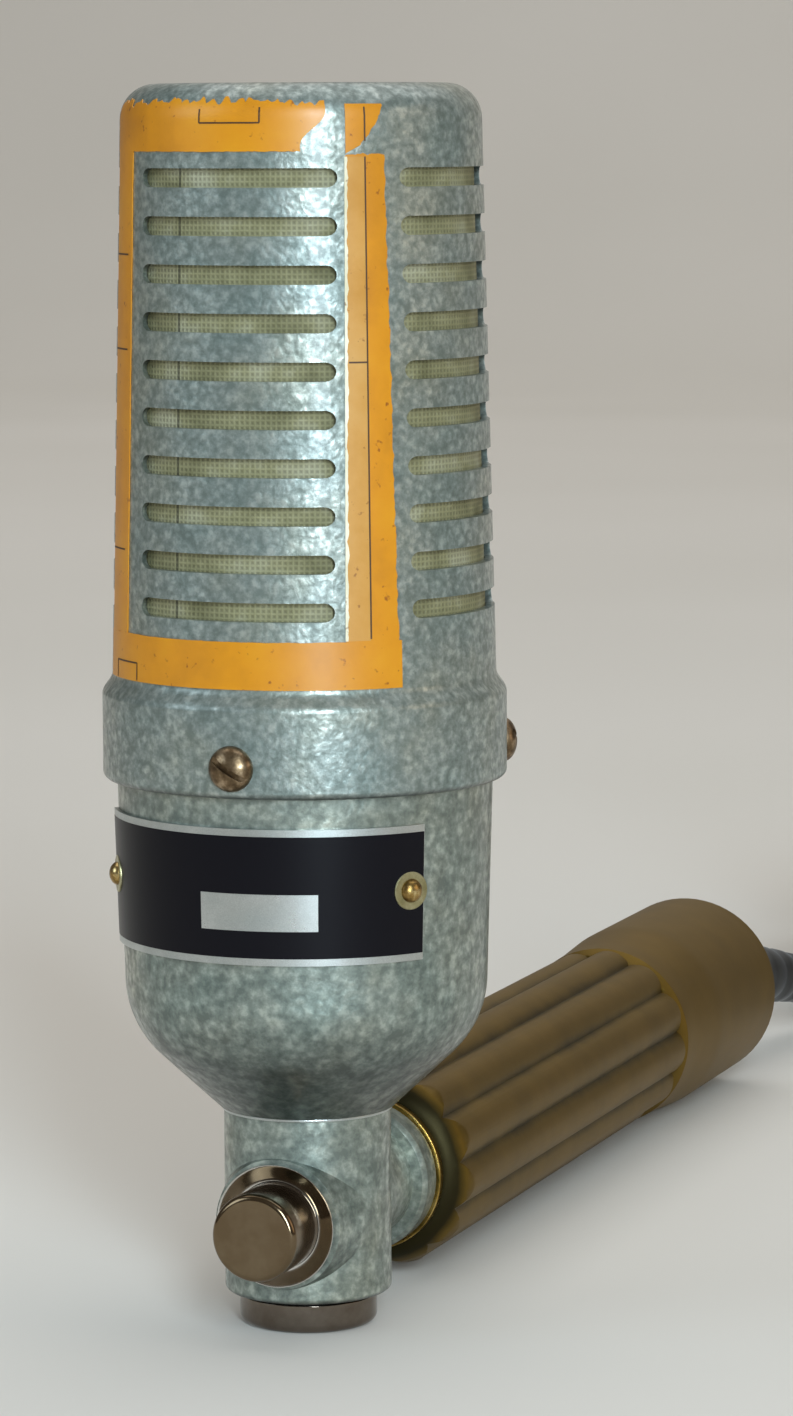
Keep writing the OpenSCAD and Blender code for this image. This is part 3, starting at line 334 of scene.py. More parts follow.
def gauzeCloth(name, radius, pitch, lapAngle):
    # woven bronze gauze gone olive; its threads are drawn wider apart than they are, so that they show
    material, tree, shader, place = newMaterial(name, Metallic=0.15, Roughness=0.72)
    parts = addNode(tree, "ShaderNodeSeparateXYZ", {0: place}).outputs
    angle = mathOf(tree, "ARCTAN2", parts["X"], mathOf(tree, "MULTIPLY", parts["Y"], -1.0))
    waves = 2 * math.pi / (pitch * mm)
    across = mathOf(tree, "MULTIPLY", mathOf(tree, "MULTIPLY", angle, radius * mm), waves)
    upward = mathOf(tree, "MULTIPLY", parts["Z"], waves)
    weave = mathOf(tree, "MAXIMUM", mathOf(tree, "SINE", across), mathOf(tree, "SINE", upward))
    stain = noiseOf(tree, place, 130.0, 4.0, 0.6)
    base = ramp(tree, stain, [(0.3, "#6d6a48"), (0.5, "#8e8a66"), (0.7, "#a9a68a")])
    lit = vectorOf(tree, "MULTIPLY", base, remap(tree, weave, -0.6, 1.0, 0.72, 1.06))
    # the sheet's lap shows as one dark upright line in the front slots
    seam = mathOf(tree, "COMPARE", angle, math.radians(lapAngle), math.radians(0.55))
    joined = vectorOf(tree, "MULTIPLY", lit, remap(tree, seam, 0.0, 1.0, 1.0, 0.45))
    cover(tree, shader, joined, weave, 0.4, 0.12)
    return material


def stickyTape(name, base, shade, pale):
    # glossy paper-backed tape, rubbed pale in places, with dirt worked in
    glaze = {"Coat Weight": 0.15, "Coat Roughness": 0.2}
    material, tree, shader, place = newMaterial(name, Roughness=0.42, **glaze)
    rub = noiseOf(tree, place, 90.0, 5.0, 0.62)
    speck = noiseOf(tree, place, 900.0, 2.0)
    colour = ramp(tree, rub, [(0.28, shade), (0.5, base), (0.78, pale)])
    dirt = ramp(tree, speck, [(0.24, "#9a6a1e"), (0.33, "#ffffff")])
    cover(tree, shader, mixed(tree, 0.8, colour, dirt), rub, 0.25, 0.15)
    return material


def blackEnamel(name):
    # stove enamel on the nameplate, with fine scratches and a few specks of dust
    material, tree, shader, place = newMaterial(name, Roughness=0.32, **{"Specular IOR Level": 0.14})
    drawn = addNode(tree, "ShaderNodeMapping",
                    {"Vector": place, "Scale": (1.0, 1.0, 9.0), "Rotation": (0.0, 0.5, 0.0)}).outputs[0]
    scratch = noiseOf(tree, drawn, 420.0, 4.0, 0.7)
    dust = noiseOf(tree, place, 1500.0, 2.0)
    marks = ramp(tree, scratch, [(0.74, "#0b0a10"), (0.82, "#4b4a4c")])
    grit = ramp(tree, dust, [(0.78, "#000000"), (0.86, "#3c3834")])
    cover(tree, shader, mixed(tree, 0.5, marks, grit, "ADD"), scratch, 0.08, 0.05)
    return material


def rubberSheath(name):
    # moulded black rubber: faint talc bloom over fine pores
    bloomed = {"Sheen Weight": 0.15, "Sheen Roughness": 0.4}
    material, tree, shader, place = newMaterial(name, Roughness=0.48, **bloomed)
    bloom = noiseOf(tree, place, 60.0, 5.0, 0.65)
    pores = noiseOf(tree, place, 1800.0, 2.0)
    cover(tree, shader, ramp(tree, bloom, [(0.35, "#101011"), (0.75, "#242322")]), pores, 0.25, 0.04)
    return material


def pressedLeather(name):
    # waxed leather thong with a pressed grain
    material, tree, shader, place = newMaterial(name, Roughness=0.55)
    grain = addNode(tree, "ShaderNodeTexVoronoi", {"Vector": place, "Scale": 900.0}).outputs["Distance"]
    wear = noiseOf(tree, place, 150.0, 4.0)
    cover(tree, shader, ramp(tree, wear, [(0.3, "#22160f"), (0.7, "#4a3323")]), grain, 0.4, 0.1)
    return material


capEnamel = hammerEnamel("hammertoneEnamelSheet", 1.4, "#7a8480", "#99a29f", "#c2c9c6")
castEnamel = hammerEnamel("hammertoneEnamelCasting", 1.9, "#747c76", "#949c95", "#bec4bc")
handleBrass = castBrass("castBrassHandle", "#68521d", "#2b250e", "#6f5722")
screwBrass = agedMetal("agedBrassScrew", "#7f6a50", "#50402f", "#bba588", 0.36, 0.2, 1.2)
rivetBrass = agedMetal("domedBrassRivet", "#a98a50", "#5f4526", "#e6d09a", 0.26, 0.3, 1.4)
ringBrass = agedMetal("paleBrassWasher", "#b3ad86", "#958f66", "#cdc8a6", 0.34, 0.15, 2.0, 0.02)
collarBrass = agedMetal("turnedBrassRing", "#b08f48", "#6e5a26", "#e3c47a", 0.26, 0.3, 3.0)
chromePlate = polishedChrome("polishedChrome", "#b9b4ad", "#d6d3ce", 0.06)
# the button's nickel and the bottom cap's chrome are coloured brown: a painted reflection of a brown wooden
# room, not wear
nickelPaintedReflection = polishedChrome("wornNickelPlate", "#71604a", "#7e6e58", 0.12)
chromePaintedReflection = polishedChrome("handledChrome", "#6a5f55", "#7c7268", 0.07)
bareAlloy = agedMetal("brushedAluminium", "#c9cecc", "#bac1bf", "#d9dddc", 0.3, 0.15, 9.0, 0.03)
plateEnamel = blackEnamel("blackStoveEnamel")
lining = gauzeCloth("oliveBronzeGauze", 23.5, 0.7, -22.5)
tapeYellow = stickyTape("yellowPaperTape", "#cd8500", "#bb7700", "#d4910c")
tapePale = stickyTape("yellowPaperTapeWorn", "#c58f40", "#ba8128", "#cd9f5a")
tapeInk = castMetal("printedRuling", "#4d2f12", 0.5, 0.0, 0.4)
# pale tape for the torn edge: the paper's white core, and a painted highlight along the lifted edge
tornEdgeHighlightPaint = stickyTape("tornPaperEdge", "#e6dfc4", "#c9bd92", "#f6f2e4")
rubber = rubberSheath("mouldedRubber")
thong = pressedLeather("waxedLeather")
zinc = castMetal("zincPlatedSteel", "#a9abab", 0.34)
softIron = castMetal("softIron", "#6f7275", 0.42)
magnetAlloy = castMetal("castMagnetAlloy", "#4b4c50", 0.55)
copperWire = castMetal("enamelledCopper", "#a4552c", 0.3, 0.9, 0.25)
foil = castMetal("aluminiumFoil", "#d9dadb", 0.25)
plainBrass = castMetal("rolledBrass", "#b6944e", 0.3)
phenolic = castMetal("phenolicResin", "#2c1a12", 0.32, 0.0)
redLead = castMetal("redInsulation", "#7d1512", 0.5, 0.0)
greenLead = castMetal("greenInsulation", "#17502a", 0.5, 0.0)
steelLamination = castMetal("siliconSteelLamination", "#4a4d50", 0.5, 1.0, 0.35)
print("finishes made")

# cord: one curve from the handle's end to the connector, in real millimetres
cordSet = {
    "radius": 3.0,
    "relief": [(0, handleEnd, axisZ), (0.5, 193, 15.6), (2.2, 202, 15), (4.6, 211, 13.7), (6.8, 220, 11.9)],
    "run": [(8.6, 228, 10), (12, 235, 7.3), (17.2, 239.8, 5.2), (24.5, 241, 4.3), (31.8, 242.8, 4.2),
            (38.6, 247.3, 4.2), (43.2, 254, 4.2), (45.1, 262, 4.2), (45.1, 270, 4.2), (45, 279, 4.2),
            (44.6, 292, 4.2)],
    "tail": [(42.2, 360.3, 30.5), (37.4, 367.7, 31.1), (29.8, 372.2, 31.9), (21.2, 372.8, 32.8),
             (13.4, 369.4, 33.6), (8, 362.8, 34.4), (5.7, 354.5, 34.8), (5.25, 345.5, 34.9), (5.25, 337, 34.9)],
    "hankCentre": (21.5, 309, 4.2),
    "foldRadius": 13,
    "straightRun": 86,
    "pitch": 6.5,
    "loopsPerLayer": 1.5,
    "layers": 4,
    "pointsPerLoop": 24,
    "startShare": 0.125,
    "climbShare": 0.25,
    "reliefRadii": (6.6, 6.2, 5.7, 5.1, 4.5, 4.0),
    "reliefSink": 0.03,
    "mouthSink": 0.35,
    "ribs": 9,
    "ribDepth": 0.45,
    "ribbed": (0.12, 0.9),
}


# a place on the hank after t loops, which start on a run: two runs and two folds, a layer up after each set
def hankPoint(t):
    s = cordSet
    half = s["straightRun"] / 2
    phase = t % (2 * s["loopsPerLayer"])
    fold = s["foldRadius"] + s["pitch"] * abs(phase - s["loopsPerLayer"])
    rise = 0
    for k in range(1, s["layers"] + 1):
        share = max(0, min(1, (t - k * s["loopsPerLayer"] + s["startShare"]) / s["climbShare"]))
        rise += s["pitch"] * (1 - math.cos(math.pi * share)) / 2
    u = (t + s["startShare"]) % 1
    turn = 4 * math.pi * (u % 0.5 - 0.25)
    if u % 0.5 < 0.25:
        x, y = fold, half * (8 * (u % 0.5) - 1)
    else:
        x, y = fold * math.cos(turn), half + fold * math.sin(turn)
    sign = 1 if u < 0.5 else -1
    cx, cy, cz = s["hankCentre"]
    return (cx + sign * x, cy + sign * y, cz + rise)


# a line through the points with a few more between them
def smoothPath(points, steps):
    out = []
    pts = [Vector(p) for p in points]
    for i in range(len(pts) - 1):
        p0, p1, p2, p3 = pts[max(i - 1, 0)], pts[i], pts[i + 1], pts[min(i + 2, len(pts) - 1)]
        for k in range(steps):
            t = k / steps
            out.append(0.5 * ((2 * p1) + (p2 - p0) * t + (2 * p0 - 5 * p1 + 4 * p2 - p3) * t * t
                              + (3 * p1 - p0 - 3 * p2 + p3) * t ** 3))
    out.append(pts[-1])
    return out


def makeCord():
    s = cordSet
    steps = int((s["layers"] * s["loopsPerLayer"] + s["startShare"]) * s["pointsPerLoop"])
    hank = [hankPoint(k / s["pointsPerLoop"]) for k in range(steps + 1)]
    route = smoothPath(s["relief"] + s["run"] + hank + s["tail"], 3)
    data = bpy.data.curves.new("cord", "CURVE")
    data.dimensions = "3D"
    data.bevel_depth = s["radius"] * mm
    data.bevel_resolution = 4
    data.use_fill_caps = True
    spline = data.splines.new("POLY")
    spline.points.add(len(route) - 1)
    for point, place in zip(spline.points, route):
        point.co = (*(place * mm), 1)
    spline.use_smooth = True
    cord = bpy.data.objects.new("cord", data)
    scene.collection.objects.link(cord)
    dress(cord, rubber)
    length = sum((b - a).length for a, b in zip(route, route[1:])) * mm
    return cord, length


# a round tube along a path given in millimetres
def sweep(name, path, radii, material, sides=32, up=(0, 0, 1)):
    path = [Vector(p) for p in path]
    verts, faces = [], []
    up = Vector(up)
    for i, p in enumerate(path):
        ahead = (path[min(i + 1, len(path) - 1)] - path[max(i - 1, 0)]).normalized()
        side = ahead.cross(up).normalized()
        over = side.cross(ahead).normalized()
        for k in range(sides):
            a = 2 * math.pi * k / sides
            verts.append(tuple(p + (side * math.cos(a) + over * math.sin(a)) * radii[i]))
    for i in range(len(path) - 1):
        for k in range(sides):
            n = (k + 1) % sides
            faces.append((i * sides + k, i * sides + n, (i + 1) * sides + n, (i + 1) * sides + k))
    for start in (0, (len(path) - 1) * sides):
        faces.append(tuple(range(start, start + sides)))
    return meshPiece(name, verts, faces, material)


# a tapered boot with moulded ribs, its mouth drawn in round the cord
def makeStrainRelief():
    s = cordSet
    path = smoothPath(s["relief"] + [s["run"][0]], 8)
    last, steps = len(path) - 1, len(s["reliefRadii"]) - 1
    start, end = s["ribbed"]
    radii = []
    for i in range(last + 1):
        t = i / last
        k = min(int(t * steps), steps - 1)
        radius = between(s["reliefRadii"][k], s["reliefRadii"][k + 1], t * steps - k)
        wave = max(0.0, math.cos(2 * math.pi * t * s["ribs"])) ** 2 if start < t < end else 0
        radii.append(radius - s["reliefSink"] - s["ribDepth"] * wave - (s["mouthSink"] if i == last else 0))
    boot = sweep("strainRelief", path, radii, rubber)
    finishEdges(boot, 0)
    return boot


cord, cordLength = makeCord()
boot = makeStrainRelief()
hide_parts("cord_run", "cord_hank", "cord_tail")
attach(cord, "microphone")
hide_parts("strain_relief")
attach(boot, "microphone")


# leather thong round the runs of the hank, near the end where the cord arrives
tieSet = {
    "left": -24.4, "right": 27.55, "low": 0.2, "high": 28.3, "back": 34,
    "width": 9.5, "thick": 0.9, "corner": 3.2, "chamfer": 0.3,
}


def makeTie():
    s = tieSet
    corner, half, inner = s["corner"], s["width"] / 2, s["corner"] - s["thick"]
    right, left = s["right"] - corner, s["left"] + corner
    high, low = s["high"] - corner, s["low"] + corner
    rows = []
    for cx, cz, start in ((right, high, 0), (left, high, 90), (left, low, 180), (right, low, 270)):
        for k in range(7):
            a = math.radians(start + 15 * k)
            rows.append((cx, cz, math.cos(a), math.sin(a)))
    hankX, hankY = cordSet["hankCentre"][:2]
    section = ((corner, s["chamfer"] - half), (corner, half - s["chamfer"]), (inner, half), (inner, -half))
    verts, faces = [], []
    for cx, cz, c, n in rows:
        for radius, y in section:
            verts.append((hankX + cx + radius * c, hankY - s["back"] + y, cz + radius * n))
    count = len(rows)
    for i in range(count):
        j = (i + 1) % count
        for k in range(4):
            m = (k + 1) % 4
            faces.append((4 * i + k, 4 * i + m, 4 * j + m, 4 * j + k))
    tie = meshPiece("hankThong", verts, faces, thong)
    finishEdges(tie, 0.12)
    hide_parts("cord_tie")
    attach(tie, "microphone")
    return tie


tie = makeTie()

# pin connector on the cord's far end: a turned shell round a moulded insert, lying along the handle's direction
plugSet = {
    "rear": (5.25, 337, 34.9),
    "shell": [(0, 0), (4.2, 0), (5, -8.4), (8.6, -12), (8.6, -34), (7.8, -34.3), (7.8, -44), (6.6, -44),
              (6.6, -38), (0, -38)],
    "insert": [(0, -38), (6.52, -38), (6.52, -44), (0, -44)],
}
lying = {"centre": plugSet["rear"], "axis": "Y", "closed": False}
shell = turned("connectorShell", plugSet["shell"], chromePlate, sides=96, **lying)
finishEdges(shell, 0.25)
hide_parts("connector_shell")
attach(shell, "microphone")
insert = turned("connectorInsert", plugSet["insert"], phenolic, sides=64, **lying)
finishEdges(insert, 0.1)
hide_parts("connector_insert")
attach(insert, "microphone")
dress(nodes["connector_pins"], plainBrass)
print("cord laid", round(cordLength, 3))


# a node group: geometry, a whole number, sizes in metres and a material go in, geometry comes out
def newGroup(name, wholeNumber, sizes):
    tree = bpy.data.node_groups.new(name, "GeometryNodeTree")
    sockets = [("Geometry", "Geometry"), (wholeNumber, "Int")] + [(size, "Float") for size in sizes]
    for label, kind in sockets + [("Finish", "Material")]:
        tree.interface.new_socket(label, in_out="INPUT", socket_type="NodeSocket" + kind)
    tree.interface.new_socket("Geometry", in_out="OUTPUT", socket_type="NodeSocketGeometry")
    return tree, addNode(tree, "NodeGroupInput").outputs


def closeGroup(tree, geometry, finish):
    real = addNode(tree, "GeometryNodeRealizeInstances", {0: geometry}).outputs[0]
    painted = addNode(tree, "GeometryNodeSetMaterial", {"Geometry": real, "Material": finish}).outputs[0]
    addNode(tree, "NodeGroupOutput", {0: painted})
    return tree


# a node group on an object, its inputs set by their identifiers, then a plain mesh
def useTree(obj, tree, **values):
    modifier = obj.modifiers.new(tree.name, "NODES")
    modifier.node_group = tree
    for item in tree.interface.items_tree:
        key = item.name.replace(" ", "")
        key = key[0].lower() + key[1:]
        if item.item_type == "SOCKET" and item.in_out == "INPUT" and key in values:
            modifier[item.identifier] = values[key]
    settle(obj)


# grille cap: a turned shell, and slots cut by a node group
capSet = {
    "topZ": 168.4, "footZ": 89.7, "skirtZ": 75.4, "topRadius": 24.2, "footRadius": 25.95, "skirtRadius": 27.35,
    "round": 4.8, "wall": 1.15, "flare": 2.9, "lip": 1.0,
    "slotRows": 10, "slotWidth": 27.8, "slotHeight": 2.5, "slotPitch": 6.25, "slotDrop": 12.3, "slotReach": 60,
    "turn": -3.0,
}


# outside radius of the cap at a height, with its rounded top
def capRadius(z):
    s = capSet
    low = s["topZ"] - s["round"]
    if z > low:
        lift = min(z - low, s["round"] - 0.01)
        return s["topRadius"] - s["round"] + math.sqrt(s["round"] ** 2 - lift ** 2)
    return s["footRadius"] + (s["topRadius"] - s["footRadius"]) * (z - s["footZ"]) / (low - s["footZ"])


# from the middle of the top down to the skirt, the inner wall a little lower at the flare
def capOutline(inset):
    s = capSet
    curl, sink = s["round"] - inset, 0.4 * inset
    points = [(0, s["topZ"] - inset), (10, s["topZ"] - inset)]
    points += arc(s["topRadius"] - s["round"], s["topZ"] - s["round"], curl, curl, range(90, -1, -9))
    points += [(s["footRadius"] - inset, s["footZ"] - sink)]
    for k in range(1, 11):
        share = (1 - math.cos(math.radians(18 * k))) / 2
        points.append((between(s["footRadius"], s["skirtRadius"], share) - inset,
                       s["footZ"] - s["flare"] * k / 10 - sink))
    return points


# cuts columns of round-ended slots through the wall; named inputs hold the sizes in metres
def slotTree():
    sizes = ("Slot Width", "Slot Height", "Pitch", "First Height", "Reach", "Turn")
    tree, given = newGroup("cutSlots", "Rows", sizes)
    oblong = {"Width": given["Slot Width"], "Height": given["Slot Height"]}
    outline = addNode(tree, "GeometryNodeCurvePrimitiveQuadrilateral", oblong).outputs["Curve"]
    half = mathOf(tree, "MULTIPLY", given["Slot Height"], 0.499)
    ends = {"Curve": outline, "Radius": half, "Count": 9}
    rounded = addNode(tree, "GeometryNodeFilletCurve", ends, mode="POLY").outputs[0]
    far = addNode(tree, "ShaderNodeCombineXYZ", {"Y": given["Reach"]}).outputs[0]
    near = addNode(tree, "ShaderNodeVectorMath", {0: far, "Scale": -1.0}, operation="SCALE").outputs[0]
    line = addNode(tree, "GeometryNodeCurvePrimitiveLine", {"Start": near, "End": far}).outputs[0]
    swept = {"Curve": line, "Profile Curve": rounded, "Fill Caps": True}
    bar = addNode(tree, "GeometryNodeCurveToMesh", swept).outputs[0]
    first = addNode(tree, "ShaderNodeCombineXYZ", {"Z": given["First Height"]}).outputs[0]
    drop = mathOf(tree, "MULTIPLY", given["Pitch"], -1.0)
    step = addNode(tree, "ShaderNodeCombineXYZ", {"Z": drop}).outputs[0]
    column = {"Count": given["Rows"], "Start Location": first, "Offset": step}
    row = addNode(tree, "GeometryNodeMeshLine", column).outputs[0]
    bars = addNode(tree, "GeometryNodeInstanceOnPoints", {"Points": row, "Instance": bar}).outputs[0]
    cut = addNode(tree, "GeometryNodeMeshBoolean", {0: given["Geometry"]},
                  operation="DIFFERENCE", solver="EXACT")
    for extra in (0.0, math.pi / 2):
        angle = mathOf(tree, "ADD", given["Turn"], extra)
        spin = addNode(tree, "ShaderNodeCombineXYZ", {"Z": angle}).outputs[0]
        spun = addNode(tree, "GeometryNodeTransform", {"Geometry": bars, "Rotation": spin}).outputs[0]
        solid = addNode(tree, "GeometryNodeRealizeInstances", {0: spun}).outputs[0]
        tree.links.new(solid, cut.inputs[1])
    return closeGroup(tree, cut.outputs[0], given["Finish"])


def makeGrilleCap():
    s = capSet
    lip = s["lip"]
    outline = capOutline(0)
    outline += arc(s["skirtRadius"] - lip, s["skirtZ"] + lip, lip, -lip, range(0, 91, 15))
    outline += [(s["skirtRadius"] - s["wall"], s["skirtZ"])]
    outline += list(reversed(capOutline(s["wall"])))
    cap = turned("grilleCap", outline, capEnamel, sides=160, closed=False)
    useTree(cap, slotTree(), rows=s["slotRows"], slotWidth=s["slotWidth"] * mm, slotHeight=s["slotHeight"] * mm,
            pitch=s["slotPitch"] * mm, firstHeight=(s["topZ"] - s["slotDrop"]) * mm, reach=s["slotReach"] * mm,
            turn=math.radians(s["turn"]), finish=capEnamel)
    finishEdges(cap, 0.22, angle=40)
    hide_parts("grille_cap")
    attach(cap, "microphone")


makeGrilleCap()
dress(nodes["grille_gauze"], lining)
print("grille cap cut")


# copies of one round head on a ring, each turned to face outwards
def ringTree():
    tree, given = newGroup("setRoundHeads", "Count", ("Height", "Radius", "First Angle", "Step"))
    row = addNode(tree, "GeometryNodeMeshLine", {"Count": given["Count"]}).outputs[0]
    index = addNode(tree, "GeometryNodeInputIndex").outputs[0]
    angle = mathOf(tree, "MULTIPLY_ADD", index, given["Step"], given["First Angle"])
    x = mathOf(tree, "MULTIPLY", mathOf(tree, "SINE", angle), given["Radius"])
    back = mathOf(tree, "MULTIPLY", mathOf(tree, "COSINE", angle), given["Radius"])
    y = mathOf(tree, "MULTIPLY", back, -1.0)
    spot = addNode(tree, "ShaderNodeCombineXYZ", {"X": x, "Y": y, "Z": given["Height"]}).outputs[0]
    spots = addNode(tree, "GeometryNodeSetPosition", {"Geometry": row, "Position": spot}).outputs[0]
    spin = addNode(tree, "ShaderNodeCombineXYZ", {"Z": angle}).outputs[0]
    placed = {"Points": spots, "Instance": given["Geometry"], "Rotation": spin}
    heads = addNode(tree, "GeometryNodeInstanceOnPoints", placed).outputs[0]
    return closeGroup(tree, heads, given["Finish"])


roundHeads = ringTree()
screwSet = {
    "headRadius": 3.05, "headHeight": 1.9, "headFoot": 0.25, "shank": 1.5, "shankEnd": 5,
    "slot": 0.75, "slotTurn": 32, "height": 79.5, "seat": 27.35,
}
rivetSet = {
    "domeRadius": 1.6, "domeHeight": 1.25, "domeFoot": 0.4, "shank": 1.12, "shankEnd": 2.2,
    "ringRadius": 2.55, "ringThick": 0.16, "ringFoot": 0.35, "ringLap": 0.2, "ringEdge": 0.1,
    "height": 62.7, "plateFace": 0.6, "angles": (-59.2, 53.3),
}


# domed heads that point to the front before they are set round the skirt
def makeSkirtScrews():
    s = screwSet
    outline = [(0, -s["headHeight"])]
    outline += arc(0, 0, s["headRadius"], -s["headHeight"], range(81, -1, -9))
    outline += [(s["headRadius"], s["headFoot"]), (s["shank"], s["headFoot"]), (s["shank"], s["shankEnd"]),
                (0, s["shankEnd"])]
    screws = turned("skirtScrews", outline, screwBrass, sides=48, axis="Y", closed=False)
    # a bar longer than the head is wide cuts the slot for a screwdriver
    slotFloor, slotSide = -s["headHeight"] * 0.5, s["slot"] / 2
    corners = [(x, y, z) for x in (-4, 4) for y in (-3, slotFloor) for z in (-slotSide, slotSide)]
    sides = [(0, 1, 3, 2), (4, 6, 7, 5), (0, 4, 5, 1), (2, 3, 7, 6), (0, 2, 6, 4), (1, 5, 7, 3)]
    cutter = meshPiece("screwSlotCutter", corners, sides, screwBrass, False)
    cutter.data.transform(Matrix.Rotation(math.radians(s["slotTurn"]), 4, "Y"))
    cut = screws.modifiers.new("slot", "BOOLEAN")
    cut.object = cutter
    cut.solver = "EXACT"
    settle(screws)
    bpy.data.objects.remove(cutter)
    finishEdges(screws, 0.1, angle=40)
    useTree(screws, roundHeads, count=3, height=s["height"] * mm, radius=s["seat"] * mm, firstAngle=0.0,
            step=math.radians(120), finish=screwBrass)
    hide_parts("skirt_screw_set")
    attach(screws, "microphone")


wallSet = {"lowRadius": 24.65, "highRadius": 25.45, "lowZ": 48.1, "height": 27.3}


# outside radius of the body's straight wall
def plateRadius(z):
    s = wallSet
    return s["lowRadius"] + (s["highRadius"] - s["lowRadius"]) * (z - s["lowZ"]) / s["height"]


def makeRivets():
    s = rivetSet
    first, last = (math.radians(angle) for angle in s["angles"])
    seats = {"count": 2, "height": s["height"] * mm, "radius": (plateRadius(s["height"]) + s["plateFace"]) * mm,
             "firstAngle": first, "step": last - first}
    dome = [(0, -s["domeHeight"])] + arc(0, 0, s["domeRadius"], -s["domeHeight"], range(80, -1, -10))
    dome += [(s["shank"], s["domeFoot"]), (s["shank"], s["shankEnd"]), (0, s["shankEnd"])]
    rivets = turned("nameplateRivets", dome, rivetBrass, sides=40, axis="Y", closed=False)
    useTree(rivets, roundHeads, finish=rivetBrass, **seats)
    finishEdges(rivets, 0)
    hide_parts("nameplate_rivets")
    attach(rivets, "microphone")
    inner, outer = s["domeRadius"] - s["ringLap"], s["ringRadius"]
    face, foot, edge = -s["ringThick"], s["ringFoot"], s["ringEdge"]
    ring = [(inner, face), (outer - edge, face), (outer, face + edge), (outer, foot), (inner, foot)]
    rings = turned("rivetRings", ring, ringBrass, sides=40, axis="Y", closed=True)
    useTree(rings, roundHeads, finish=ringBrass, **seats)
    finishEdges(rings, 0)
    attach(rings, "microphone")


makeSkirtScrews()
makeRivets()
print("screws and rivets set")


# a patch on a turned wall; edges gives (angle in degrees, height) for s and t from 0 to 1
def wallPatch(name, edges, wallRadius, material, lift, thick, columns, rows):
    verts, faces = [], []
    for layer in (lift, lift + thick):
        for j in range(rows + 1):
            for i in range(columns + 1):
                angle, z = edges(i / columns, j / rows)
                radius = wallRadius(z) + layer
                a = math.radians(angle)
                verts.append((radius * math.sin(a), -radius * math.cos(a), z))
    span = columns + 1
    top = span * (rows + 1)
    for j in range(rows):
        for i in range(columns):
            q = (j * span + i, j * span + i + 1, (j + 1) * span + i + 1, (j + 1) * span + i)
            faces.append(tuple(reversed(q)))
            faces.append(tuple(v + top for v in q))
    rim = list(range(columns)) + [j * span + columns for j in range(rows)]
    rim += [rows * span + i for i in range(columns, 0, -1)] + [j * span for j in range(rows, 0, -1)]
    for k, a in enumerate(rim):
        b = rim[(k + 1) % len(rim)]
        faces.append((a, b, b + top, a + top))
    patch = meshPiece(name, verts, faces, material)
    finishEdges(patch, 0)
    return patch


def band(a0, a1, z0, z1):
    return lambda s, t: (between(a0, a1, s), between(z0, z1, t))


plateSet = {
    "low": 53.3, "high": 71.4, "from": -64.0, "to": 58.0, "lift": 0.05, "thick": 0.55,
    "margin": 0.95, "sideMargin": 0.15, "skin": 0.05, "fieldSink": 0.02, "windowRise": 0.01,
    "window": (-11.8, 24.3, 57.9, 62.8),
}


# bare plate with a black field in it, and a blank window in the field
def makeNameplate():
    s = plateSet
    whole = band(s["from"], s["to"], s["low"], s["high"])
    inside = band(s["from"] + s["sideMargin"], s["to"] - s["sideMargin"],
                  s["low"] + s["margin"], s["high"] - s["margin"])
    face = s["lift"] + s["thick"]
    plate = wallPatch("nameplate", whole, plateRadius, bareAlloy, s["lift"], s["thick"], 96, 8)
    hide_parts("nameplate")
    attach(plate, "microphone")
    field = wallPatch("nameplateField", inside, plateRadius, plateEnamel, face - s["fieldSink"],
                      s["skin"], 96, 8)
    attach(field, "microphone")
    window = wallPatch("nameplateWindow", band(*s["window"]), plateRadius, bareAlloy, face + s["windowRise"],
                       s["skin"], 32, 4)
    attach(window, "microphone")


makeNameplate()

# adhesive tape with torn edges; each strip has its lowest and highest height
tapeSet = {
    "lift": 0.03, "thick": 0.14, "inkLift": 0.2, "inkThick": 0.02, "inkWide": 0.22,
    "top": (159.5, 166.0), "foot": (89.75, 96), "right": (96, 159.0), "torn": (96.1, 158.8),
    "rightTop": (160.3, 165.6), "left": (96, 159.6),
}


# a torn edge: rough at about a millimetre, with bites
def ragged(position, size, seed):
    coarse = noise.noise(Vector((position * 0.9, seed, 0.3)))
    return size * (coarse + 0.5 * noise.noise(Vector((position * 2.7, seed, 1.7))))


def tapePiece(name, edges, material, columns, rows, lift=tapeSet["lift"], thick=tapeSet["thick"]):
    piece = wallPatch(name, edges, capRadius, material, lift, thick, columns, rows)
    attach(piece, "microphone")
    return piece


def topEdges(s, t):
    angle = -59 + 88 * s
    low, high = tapeSet["top"]
    high += ragged(angle * 0.5, 0.9, 3) - max(0, angle - 12) * 0.01
    low += ragged(angle * 0.35, 0.08, 8)
    tear = s ** 6 * (8.5 * (1 - t) + 1.5 * math.sin(7 * t))      # the right end leans back towards its foot
    return angle - tear, between(low, high, t)


def footEdges(s, t):
    angle = -59.4 + 109.6 * s
    return angle, between(*tapeSet["foot"], t) + ragged(angle * 0.3, 0.06, 2) * t


def rightEdges(s, t):
    z = between(*tapeSet["right"], t)
    left = 33 + 1.2 * t
    right = 49.2 - 2.4 * t + ragged(z * 0.9, 0.55, 5)
    return between(left, right, s), z + (0.7 * s * (1 - s) + 0.5 * ragged(s * 9, 0.6, 4)) * (t > 0.99)


# the left half of the upright strip is rubbed paler, up to its printed ruling
def rubbedEdges(s, t):
    return between(33.4 + 1.2 * t, 40.3, s), between(*tapeSet["torn"], t)


# the upright strip's left edge is torn and lifted: its pale colour is the paper's white core and also a painted
# highlight along that edge
def tornEdges(s, t):
    z = between(*tapeSet["torn"], t)
    return 32.7 + 1.2 * t + (0.9 + ragged(z * 0.8, 0.5, 6)) * s, z


def rightTopEdges(s, t):
    z = between(*tapeSet["rightTop"], t)
    right = 46.6 - 7.5 * (1 - t) ** 1.4 + ragged(z, 0.7, 7)
    return between(34.3, right, s), z - 1.1 * (1 - s) * (1 - t)


